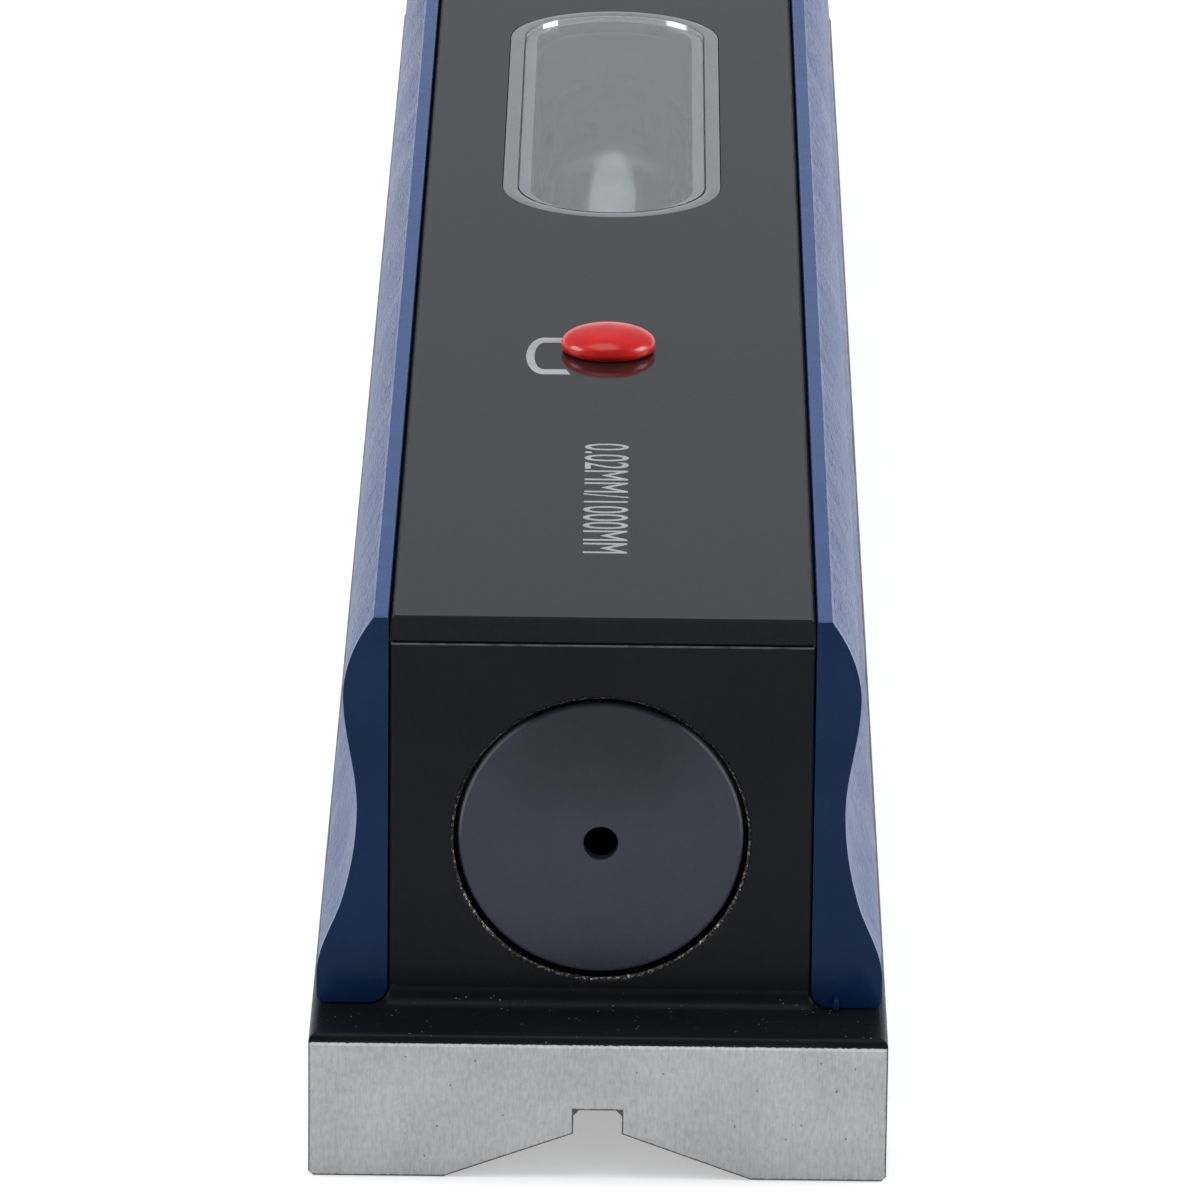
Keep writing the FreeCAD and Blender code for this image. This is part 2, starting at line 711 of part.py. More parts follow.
def make_grip(label, left):
    """A moulded side grip with the pegs that hold it in the block."""
    length = number("block_length")
    solid = Part.Face(grip_outline()).extrude(FreeCAD.Vector(0, length, 0))
    inner = number("body_width / 2 + grip_gap")
    outer_half = inner + number("grip_foot_width") / 2
    outer_end_edges = [
        edge
        for edge in solid.Edges
        if edge.BoundBox.YLength < 1e-6 and edge.BoundBox.XMax > outer_half
    ]
    solid = solid.makeFillet(number("grip_round"), outer_end_edges)
    root_depth = number("grip_neck_width") / 4
    for place in ("-peg_spacing", "0", "peg_spacing"):
        root = FreeCAD.Vector(inner + root_depth, number(place), number("peg_height"))
        peg = Part.makeCylinder(
            number("peg_diameter / 2"),
            number("peg_length + grip_gap") + root_depth,
            root,
            FreeCAD.Vector(-1, 0, 0),
        )
        solid = solid.fuse(peg)
    if left:
        solid = solid.mirror(FreeCAD.Vector(0, 0, 0), FreeCAD.Vector(1, 0, 0))
    else:
        corner = FreeCAD.Vector(
            inner + number("gate_tab_place"),
            number("-block_length / 2 - gate_tab_reach"),
            number("grip_base"),
        )
        tab = Part.makeBox(
            number("gate_tab_width"),
            number("gate_tab_reach + 2 * grip_round"),
            number("gate_tab_height"),
            corner,
        )
        solid = solid.fuse(tab)
    piece = document.addObject("Part::Feature", label)
    piece.Label = label
    piece.Shape = solid.removeSplitter()
    piece.Placement = FreeCAD.Placement()
    return piece


# ---------------------------------------------------------------- zero adjuster


def adjuster_sketch(piece):
    """A sketch through the adjuster's axis, with heights along its V axis."""
    return new_sketch(piece, ACROSS, lift="adjuster_offset")


def make_bushing():
    """The brass bushing, threaded below and opened to a well above."""
    piece = new_body("adjuster_bushing")
    profile = adjuster_sketch(piece)
    thread = "thread_diameter / 2 + thread_play"
    draw_outline(
        profile,
        [
            (thread, "bore_ceiling"),
            ("bushing_diameter / 2", "bore_ceiling"),
            ("bushing_diameter / 2", "body_top"),
            ("well_diameter / 2", "body_top"),
            ("well_diameter / 2", "well_floor"),
            (thread, "well_floor"),
        ],
    )
    revolve(piece, profile, "V_Axis")
    return piece


def make_zero_screw():
    """The adjusting screw, with a hex socket above and a cup over the ball."""
    piece = new_body("zero_screw")
    profile = adjuster_sketch(piece)
    cup_edge = "sqrt(cup_radius ^ 2 - (cup_radius - cup_depth) ^ 2)"
    draw_outline(
        profile,
        [
            ("0", "ball_centre + cup_radius", "arc"),
            (cup_edge, "screw_tip"),
            ("thread_diameter / 2", "screw_tip"),
            ("thread_diameter / 2", "screw_top"),
            ("0", "screw_top"),
        ],
    )
    revolve(piece, profile, "V_Axis")
    socket = new_sketch(piece, FLOOR, along="-adjuster_offset", lift="screw_top")
    draw_hexagon(socket, "hex_key")
    pocket(piece, socket, "hex_depth")
    return piece


def make_ball():
    """The hardened ball between the screw and the carrier's pad."""
    piece = document.addObject("Part::Sphere", "thrust_ball")
    piece.Label = "thrust_ball"
    piece.setExpression("Radius", bound("ball_diameter / 2"))
    piece.setExpression("Placement.Base.y", bound("-adjuster_offset"))
    piece.setExpression("Placement.Base.z", bound("ball_centre"))
    return piece


def make_pad():
    """The hardened pad let into the near block."""
    piece = new_body("thrust_pad")
    profile = adjuster_sketch(piece)
    draw_rectangle(profile, "0", "pad_diameter / 2", "pad_top - pad_thickness", "pad_top")
    revolve(piece, profile, "V_Axis")
    return piece


def make_spring():
    """The coil spring that lifts the carrier against the ball."""
    piece = new_body("lift_spring")
    section = adjuster_sketch(piece)
    coil_radius = "(spring_diameter - spring_wire) / 2"
    start = "spring_floor + spring_play + spring_wire / 2"
    draw_circle(section, coil_radius, start, "spring_wire")
    document.recompute()
    coil = add_feature(piece, "AdditiveHelix", section)
    coil.ReferenceAxis = (section, ["V_Axis"])
    coil.Mode = 0
    coil.setExpression("Pitch", bound("(spring_height - spring_wire) / spring_turns"))
    coil.setExpression("Height", bound("spring_height - spring_wire"))
    document.recompute()
    return piece


def make_cap():
    """The press-in cap: a domed head on a hollow stem."""
    piece = new_body("adjuster_cap")
    profile = adjuster_sketch(piece)
    seat = "plate_top + cap_seat"
    stem_end = "plate_top - cap_stem_length"
    hollow = "cap_stem_diameter / 2 - cap_wall"
    draw_outline(
        profile,
        [
            ("0", "plate_top + cap_height", "arc"),
            ("cap_diameter / 2", f"{seat} + cap_rim"),
            ("cap_diameter / 2", seat),
            ("cap_stem_diameter / 2", seat),
            ("cap_stem_diameter / 2", stem_end),
            (hollow, stem_end),
            (hollow, "plate_top - cap_roof"),
            ("0", "plate_top - cap_roof"),
        ],
    )
    revolve(piece, profile, "V_Axis")
    return piece


# ---------------------------------------------------------------- carrier


def make_carrier():
    """The carrier tube, open along its top over the vial."""
    piece = new_body("vial_carrier")
    profile = new_sketch(piece, SIDE, along="bore_height")
    draw_rectangle(
        profile,
        "-adjuster_offset - carrier_overhang",
        "pivot_offset + carrier_overhang",
        "carrier_radius - carrier_wall",
        "carrier_radius",
    )
    revolve(piece, profile, "H_Axis")

    trough = new_sketch(piece, FLOOR, lift="bore_height + carrier_diameter / 2")
    draw_stadium(trough, "trough_length", "trough_width")
    pocket(piece, trough, "carrier_diameter / 2")

    port = new_sketch(piece, FLOOR, lift="bore_height + carrier_diameter / 2")
    draw_circle(port, "0", "-adjuster_offset", "port_diameter")
    pocket(piece, port, "carrier_diameter / 2")

    seat = new_sketch(piece, FLOOR, lift="spring_seat")
    draw_circle(seat, "0", "-adjuster_offset", "spring_seat_diameter")
    pocket(piece, seat, "carrier_wall")

    pivots = new_sketch(piece, SIDE)
    draw_circle(pivots, "pivot_offset", "bore_height", "pivot_hole_diameter")
    pocket(piece, pivots)
    return piece


def make_tail(label, place):
    """A solid block that closes one end of the carrier tube."""
    piece = new_body(label)
    profile = new_sketch(piece, SIDE, along="bore_height")
    draw_rectangle(
        profile, f"{place} - tail_length / 2", f"{place} + tail_length / 2", "0", "tail_radius"
    )
    revolve(piece, profile, "H_Axis")
    return piece


def make_near_block():
    """The near end block, sunk for the thrust pad."""
    piece = make_tail("near_carrier_block", "-adjuster_offset")
    for diameter, floor in (
        ("port_diameter", "pad_top"),
        ("pad_diameter + 2 * pad_play", "pad_top - pad_thickness"),
    ):
        sink = new_sketch(piece, FLOOR, lift="bore_height + carrier_radius")
        draw_circle(sink, "0", "-adjuster_offset", diameter)
        pocket(piece, sink, f"bore_height + carrier_radius - ({floor})")
    return piece


def make_far_block():
    """The far end block, with a cone seat in each side for the pivot screws."""
    piece = make_tail("far_carrier_block", "pivot_offset")
    seat = new_sketch(piece, ACROSS, along="bore_height", lift="-pivot_offset")
    outer = "tail_radius + carrier_wall"
    draw_outline(
        seat,
        [
            ("tail_radius - cone_depth", "0"),
            (outer, "0"),
            (outer, "cone_depth + carrier_wall"),
        ],
    )
    cone = groove(piece, seat, "H_Axis")
    mirror_feature(piece, cone, SIDE)
    return piece


def side_screw(label, place, nose):
    """A headless screw from the block's side towards the tube, as its two copies.

    nose lists the corners of the screw's inner end, from its axis outwards.
    """
    piece = new_body(label + "_right")
    profile = new_sketch(piece, ACROSS, along="bore_height", lift=f"-({place})")
    outer = "body_width / 2 - side_screw_inset"
    shaft = "side_thread_diameter / 2 - thread_play"
    draw_outline(profile, nose + [(outer, shaft), (outer, "0")])
    revolve(piece, profile, "H_Axis")
    socket = new_sketch(piece, SIDE, across=place, along="bore_height", lift=outer)
    draw_hexagon(socket, "hex_key")
    pocket(piece, socket, "hex_depth")
    twin = mirrored_copy(label + "_left", piece, (1, 0, 0))
    pair = document.addObject("Part::Compound", label)
    pair.Label = label
    pair.Links = [piece, twin]
    return pair


def make_pivot_screws():
    """The two cone-point screws that the carrier turns on."""
    shaft = "side_thread_diameter / 2 - thread_play"
    cone_start = "tail_radius - cone_depth + cone_play"
    nose = [
        (f"{cone_start} + cone_tip_radius", "0"),
        (f"{cone_start} + cone_tip_radius", "cone_tip_radius"),
        (f"{cone_start} + {shaft}", shaft),
    ]
    return side_screw("pivot_screws", "pivot_offset", nose)


def make_guide_screws():
    """The two flat-nosed screws that keep the carrier central at the near end."""
    shaft = "side_thread_diameter / 2 - thread_play"
    tip = "carrier_radius + guide_play"
    nose = [
        (tip, "0"),
        (tip, "guide_nose_diameter / 2"),
        (f"{tip} + guide_nose_length", "guide_nose_diameter / 2"),
        (f"{tip} + guide_nose_length", shaft),
    ]
    return side_screw("guide_screws", "-adjuster_offset", nose)


# ---------------------------------------------------------------- vial


def make_saddle():
    """The near saddle: a cradle in the tube that carries one end of the vial."""
    piece = new_body("near_vial_saddle")
    start = "-vial_length / 2 + saddle_inset"
    profile = new_sketch(piece, SIDE, along="bore_height")
    draw_rectangle(profile, start, f"{start} + saddle_length", "0", "tail_radius")
    revolve(piece, profile, "H_Axis")
    hollow = new_sketch(piece, ACROSS)
    draw_circle(hollow, "0", "vial_height", "vial_diameter + 2 * glass_play")
    pocket(piece, hollow)
    open_top = new_sketch(piece, ACROSS)
    draw_rectangle(
        open_top,
        "-carrier_radius",
        "carrier_radius",
        "vial_height + saddle_horn",
        "bore_height + carrier_radius",
    )
    pocket(piece, open_top)
    return piece


def make_vial():
    """The glass tube of the spirit vial."""
    piece = new_body("main_vial")
    profile = new_sketch(piece, SIDE, along="vial_height")
    draw_rectangle(
        profile, "-vial_length / 2", "vial_length / 2", "vial_bore / 2", "vial_diameter / 2"
    )
    revolve(piece, profile, "H_Axis")
    return piece


def make_stopper():
    """The stopper ground into the near end of the vial."""
    piece = new_body("near_vial_stopper")
    profile = new_sketch(piece, SIDE, along="vial_height")
    start = "-vial_length / 2"
    draw_rectangle(
        profile, start, f"{start} + stopper_length", "0", "vial_bore / 2 - glass_play"
    )
    revolve(piece, profile, "H_Axis")
    return piece


def make_spirit():
    """The spirit, with the space along its top in which the bubble runs."""
    piece = new_body("spirit_fill")
    section = new_sketch(piece, ACROSS)
    draw_circle(section, "0", "vial_height", "2 * spirit_radius")
    pad(piece, section, "spirit_length", symmetric=True)
    space = new_sketch(piece, FLOOR, lift="vial_height + vial_diameter / 2")
    length = "bubble_length + 2 * bubble_travel + 2 * bubble_play"
    draw_stadium(space, length, "vial_bore")
    pocket(piece, space, "vial_height + vial_diameter / 2 - bubble_base")
    return piece


def make_bubble():
    """The bubble: what the glass and the spirit's level leave of a slot shape."""
    piece = new_body("bubble")
    plan = new_sketch(piece, FLOOR, lift="bubble_base + bubble_play")
    draw_stadium(plan, "bubble_length", "vial_bore - 2 * bubble_play")
    pad(piece, plan, "vial_diameter / 2 - bubble_level")
    outside = new_sketch(piece, ACROSS, along="vial_height")
    draw_centred_rectangle(outside, "2 * vial_diameter", "2 * vial_diameter")
    draw_circle(outside, "0", "0", "vial_bore - 2 * bubble_play")
    pocket(piece, outside)
    return piece


# ---------------------------------------------------------------- the whole level


def build():
    """Make every piece and return the ones that are written out."""
    pieces = [make_casting(), make_gasket(), make_plate(), make_bezel(), make_pane()]
    end_pieces = [make_plug(), make_seal(), make_saddle(), make_stopper()]
    pieces += end_pieces
    for piece in end_pieces:
        label = piece.Label.replace("near_", "far_")
        pieces.append(mirrored_copy(label, piece, (0, 1, 0)))
    pieces += [make_grip("left_grip", left=True), make_grip("right_grip", left=False)]
    pieces += [make_bushing(), make_zero_screw(), make_ball(), make_pad(), make_spring()]
    pieces += [make_cap(), make_carrier(), make_near_block(), make_far_block()]
    pieces += [make_pivot_screws(), make_guide_screws()]
    pieces += [make_vial(), make_spirit(), make_bubble()]
    return pieces


def check(pieces):
    """Stop on a failed object, or on a shape that is missing or not sound."""
    document.recompute()
    for item in document.Objects:
        if {"Invalid", "Error"} & set(item.State):
            raise RuntimeError(f"{item.Name} failed: {item.State}")
    for piece in pieces:
        if piece.Shape.isNull() or not piece.Shape.isValid() or not piece.Shape.Solids:
            raise RuntimeError(f"{piece.Label} has no sound shape")


def write(pieces):
    """Write each piece to its own STEP file."""
    os.makedirs("parts", exist_ok=True)
    for piece in pieces:
        piece.Shape.exportStep(f"parts/{piece.Label}.step")
        print(f"{piece.Label}: {len(piece.Shape.Solids)} solid, {piece.Shape.Volume:.1f} mm3")


PIECES = build()
check(PIECES)
write(PIECES)
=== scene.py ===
"""A bar-type precision level, dressed round its CAD frame for rendering.

The level stands on its V-groove sole with its length along Y. Every sub-assembly is a
class that holds its own sizes in millimetres, builds its meshes and dresses them with
finishes. CAD nodes whose shape is right keep it and get a finish; the cover plate, bezel,
pane, end plugs, side grips and cap have pieces of their own, which replace theirs.
"""

from __future__ import annotations

import logging
import math
from dataclasses import dataclass, field
from enum import Enum
from typing import Callable, Iterable, Sequence

import bmesh
import bpy
from bpy.types import Material, Node, NodeSocket, Object
from mathutils import Euler, Matrix, Vector, noise
from mathutils.geometry import interpolate_bezier


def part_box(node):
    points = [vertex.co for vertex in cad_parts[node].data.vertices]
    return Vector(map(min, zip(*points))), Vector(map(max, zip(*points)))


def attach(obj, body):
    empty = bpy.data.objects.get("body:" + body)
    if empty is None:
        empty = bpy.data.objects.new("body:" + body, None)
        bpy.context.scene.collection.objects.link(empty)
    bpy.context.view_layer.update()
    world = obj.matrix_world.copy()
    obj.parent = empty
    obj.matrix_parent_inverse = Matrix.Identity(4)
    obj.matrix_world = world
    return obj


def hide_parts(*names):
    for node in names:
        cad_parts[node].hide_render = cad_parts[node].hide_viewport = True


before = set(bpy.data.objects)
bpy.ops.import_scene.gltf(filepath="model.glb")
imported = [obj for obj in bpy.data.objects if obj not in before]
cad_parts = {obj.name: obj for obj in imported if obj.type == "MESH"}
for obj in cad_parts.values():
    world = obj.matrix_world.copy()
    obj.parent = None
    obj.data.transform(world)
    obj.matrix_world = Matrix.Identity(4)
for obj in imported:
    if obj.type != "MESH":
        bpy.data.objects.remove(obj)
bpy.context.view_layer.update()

MM = 0.001
WHITE = (1.0, 1.0, 1.0)
LOG = logging.getLogger("precision_level")

Colour = tuple[float, float, float]
Point = tuple[float, float, float]


def centre_of(node: str) -> Vector:
    """Middle of a CAD node's box, in millimetres."""
    low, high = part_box(node)
    return (low + high) / (2 * MM)


def foot_of(node: str) -> float:
    """Height of a CAD node's lower side, in millimetres."""
    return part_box(node)[0].z / MM


def top_of(node: str) -> float:
    """Height of a CAD node's upper side, in millimetres."""
    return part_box(node)[1].z / MM


PLATE_TOP = top_of("top_plate")
BORE_HEIGHT = centre_of("near_end_plug").z


class Body(Enum):
    """The rigid bodies that new pieces ride on, by their names in the frame."""

    LEVEL = "level_body"
    CARRIER = "carrier"
    CAP = "cap"


class Axis(Enum):
    """A direction that turning or grinding marks are laid out from."""

    Y = 1
    Z = 2


class Side(Enum):
    """The two long sides of the level, as signs of X."""

    LEFT = -1
    RIGHT = 1


class End(Enum):
    """The two ends of the level, as signs of Y."""

    NEAR = -1
    FAR = 1


# ------------------------------------------------------------------ node bench


class NodeBench:
    """Lays out nodes in one tree."""

    def __init__(self, tree: bpy.types.NodeTree) -> None:
        """Start with an empty tree.

        Args:
            tree: The tree that holds the nodes.
        """
        self.tree = tree
        self.tree.nodes.clear()

    def add(self, kind: str, **settings: object) -> Node:
        """Add a node.

        Args:
            kind: Blender's name for the node type.
            settings: Properties to set on the node.

        Returns:
            The new node.
        """
        node = self.tree.nodes.new(kind)
        for key, value in settings.items():
            setattr(node, key, value)
        return node

    def wire(self, source: object, target: NodeSocket) -> None:
        """Feed a socket from another socket or with a plain value.

        Args:
            source: An output socket, a number or a tuple.
            target: The input socket to feed.
        """
        if isinstance(source, NodeSocket):
            self.tree.links.new(source, target)
        else:
            target.default_value = source

    def calc(self, operation: str, *terms: object, clamp: bool = False) -> NodeSocket:
        """Work out one number from others.

        Args:
            operation: Name of the Math node's operation.
            terms: Sockets or numbers, in the order of the node's inputs.
            clamp: Whether the result is kept between 0 and 1.

        Returns:
            The socket that holds the result.
        """
        node = self.add("ShaderNodeMath", operation=operation, use_clamp=clamp)
        for socket, term in zip(node.inputs, terms):
            self.wire(term, socket)
        return node.outputs[0]

    def times(self, first: object, *others: object) -> NodeSocket:
        """Multiply sockets or numbers.

        Args:
            first: The first factor.
            others: The factors that follow.

        Returns:
            The socket that holds the product.
        """
        for other in others:
            first = self.calc("MULTIPLY", first, other)
        return first

    def split(self, source: NodeSocket) -> list[NodeSocket]:
        """Take a place or a direction apart.

        Args:
            source: The socket that holds it.

        Returns:
            Its X, Y and Z.
        """
        node = self.add("ShaderNodeSeparateXYZ")
        self.wire(source, node.inputs[0])
        return list(node.outputs)

    def mix(self, share: object, first: object, second: object) -> NodeSocket:
        """Mix two numbers.

        Args:
            share: How much of the second number there is.
            first: Socket or number.
            second: Socket or number.

        Returns:
            The mixed number.
        """
        node = self.add("ShaderNodeMix", data_type="FLOAT")
        for number, term in ((0, share), (2, first), (3, second)):
            self.wire(term, node.inputs[number])
        return node.outputs[0]

    def ease(
        self, value: object, start: float, end: float, low: float = 0.0, high: float = 1.0
    ) -> NodeSocket:
        """Turn one range of values softly into another.

        Args:
            value: Socket to read.
            start: Value that gives `low`.
            end: Value that gives `high`.
            low: Result at and before `start`.
            high: Result at and past `end`.

        Returns:
            The eased value.
        """
        node = self.add("ShaderNodeMapRange", interpolation_type="SMOOTHSTEP")
        for socket, term in zip(node.inputs, (value, start, end, low, high)):
            self.wire(term, socket)
        return node.outputs[0]

    def blend(self, share: object, first: object, second: object) -> NodeSocket:
        """Mix two colours.

        Args:
            share: How much of the second colour there is.
            first: Colour socket or colour.
            second: Colour socket or colour.

        Returns:
            The mixed colour.
        """
        node = self.add("ShaderNodeMix", data_type="RGBA", clamp_factor=True)
        self.wire(share, node.inputs[0])
        for socket, colour in ((node.inputs[6], first), (node.inputs[7], second)):
            self.wire(colour if isinstance(colour, NodeSocket) else (*colour, 1.0), socket)
        return node.outputs[2]


class SurfaceBench(NodeBench):
    """Builds one material; places are Object coordinates in millimetres."""

    def __init__(self, name: str) -> None:
        """Start an empty material.

        Args:
            name: Name of the new material.
        """
        self.material: Material = bpy.data.materials.new(name)
        self.material.use_nodes = True
        super().__init__(self.material.node_tree)
        coordinates = self.add("ShaderNodeTexCoord").outputs["Object"]
        self.place = self.stretch((1 / MM, 1 / MM, 1 / MM), coordinates)
        self.x, self.y, self.z = self.split(self.place)

    def stretch(self, scale: Point, source: NodeSocket | None = None) -> NodeSocket:
        """Scale a place on each axis by itself.

        Args:
            scale: Factors along X, Y and Z.
            source: The place to scale; the place in millimetres if left out.

        Returns:
            The socket that holds the scaled place.
        """
        node = self.add("ShaderNodeVectorMath", operation="MULTIPLY")
        self.wire(source or self.place, node.inputs[0])
        node.inputs[1].default_value = scale
        return node.outputs[0]

    def grain(
        self, scale: float | Point, detail: float = 3.0, rough: float = 0.55
    ) -> NodeSocket:
        """Even noise between about 0 and 1.

        Args:
            scale: Features per millimetre, the same on all axes or one for each.
            detail: Number of finer layers.
            rough: How strong the finer layers are.

        Returns:
            The noise value.
        """
        factors = scale if isinstance(scale, tuple) else (scale, scale, scale)
        node = self.add("ShaderNodeTexNoise")
        self.wire(self.stretch(factors), node.inputs["Vector"])
        node.inputs["Scale"].default_value = 1.0
        node.inputs["Detail"].default_value = detail
        node.inputs["Roughness"].default_value = rough
        return node.outputs["Fac"]

    def cells(
        self,
        scale: float | Point,
        feature: str = "DISTANCE_TO_EDGE",
        warp: float = 0.0,
    ) -> NodeSocket:
        """Cell pattern: distance to the nearest border, or to the nearest centre.

        Args:
            scale: Cells per millimetre, the same on all axes or one for each.
            feature: "DISTANCE_TO_EDGE" or "F1".
            warp: How far noise pulls the borders about, in cells.

        Returns:
            The distance.
        """
        factors = scale if isinstance(scale, tuple) else (scale, scale, scale)
        place = self.stretch(factors)
        if warp:
            ripple = self.add("ShaderNodeTexNoise")
            self.wire(place, ripple.inputs["Vector"])
            ripple.inputs["Scale"].default_value = 1.4
            ripple.inputs["Detail"].default_value = 2.0
            push = self.add("ShaderNodeVectorMath", operation="MULTIPLY_ADD")
            self.wire(ripple.outputs["Color"], push.inputs[0])
            push.inputs[1].default_value = (warp, warp, warp)
            self.wire(place, push.inputs[2])
            place = push.outputs[0]
        node = self.add("ShaderNodeTexVoronoi", feature=feature)
        self.wire(place, node.inputs["Vector"])
        node.inputs["Scale"].default_value = 1.0
        return node.outputs["Distance"]

    def reach(self, height: float) -> NodeSocket:
        """Measure the distance from a level axis along Y.

        Args:
            height: Height of the axis, in millimetres.

        Returns:
            The distance in millimetres.
        """
        rise = self.calc("SUBTRACT", self.z, height)
        squares = self.calc("ADD", self.times(rise, rise), self.times(self.x, self.x))
        return self.calc("SQRT", squares)

    def bump(
        self, height: NodeSocket, depth: float, under: NodeSocket | None = None
    ) -> NodeSocket:
        """Raise or sink the surface's shading.

        Args:
            height: Height between 0 and 1.
            depth: Full height in millimetres.
            under: A normal to build on.

        Returns:
            The new normal.
        """
        node = self.add("ShaderNodeBump")
        node.inputs["Distance"].default_value = depth * MM
        self.wire(height, node.inputs["Height"])
        if under is not None:
            self.wire(under, node.inputs["Normal"])
        return node.outputs["Normal"]

    def finish(self, normal: NodeSocket | None = None, **values: object) -> Material:
        """End the material in one surface shader.

        Args:
            normal: Normal of the surface.
            values: Sockets or values for the shader's inputs, with underscores in
                place of the spaces in their names.

        Returns:
            The finished material.
        """
        shader = self.add("ShaderNodeBsdfPrincipled")
        for key, value in values.items():
            if isinstance(value, tuple) and key.endswith("Color"):
                value = (*value, 1.0)
            self.wire(value, shader.inputs[key.replace("_", " ")])
        if normal is not None:
            self.wire(normal, shader.inputs["Normal"])
        output = self.add("ShaderNodeOutputMaterial")
        self.wire(shader.outputs[0], output.inputs[0])
        return self.material


# ------------------------------------------------------------------ finishes


class Finish:
    """Base of all finishes: makes its material once and keeps it."""

    made: dict[str, Material] = {}

    def paint(self, bench: SurfaceBench) -> Material:
        """Lay out the nodes of the finish.

        Args:
            bench: The bench that holds the new material.

        Returns:
            The finished material.
        """
        raise NotImplementedError

    def material(self) -> Material:
        """The finish's material, made at the first call."""
        name = self.name
        if name not in Finish.made:
            Finish.made[name] = self.paint(SurfaceBench(name))
        return Finish.made[name]


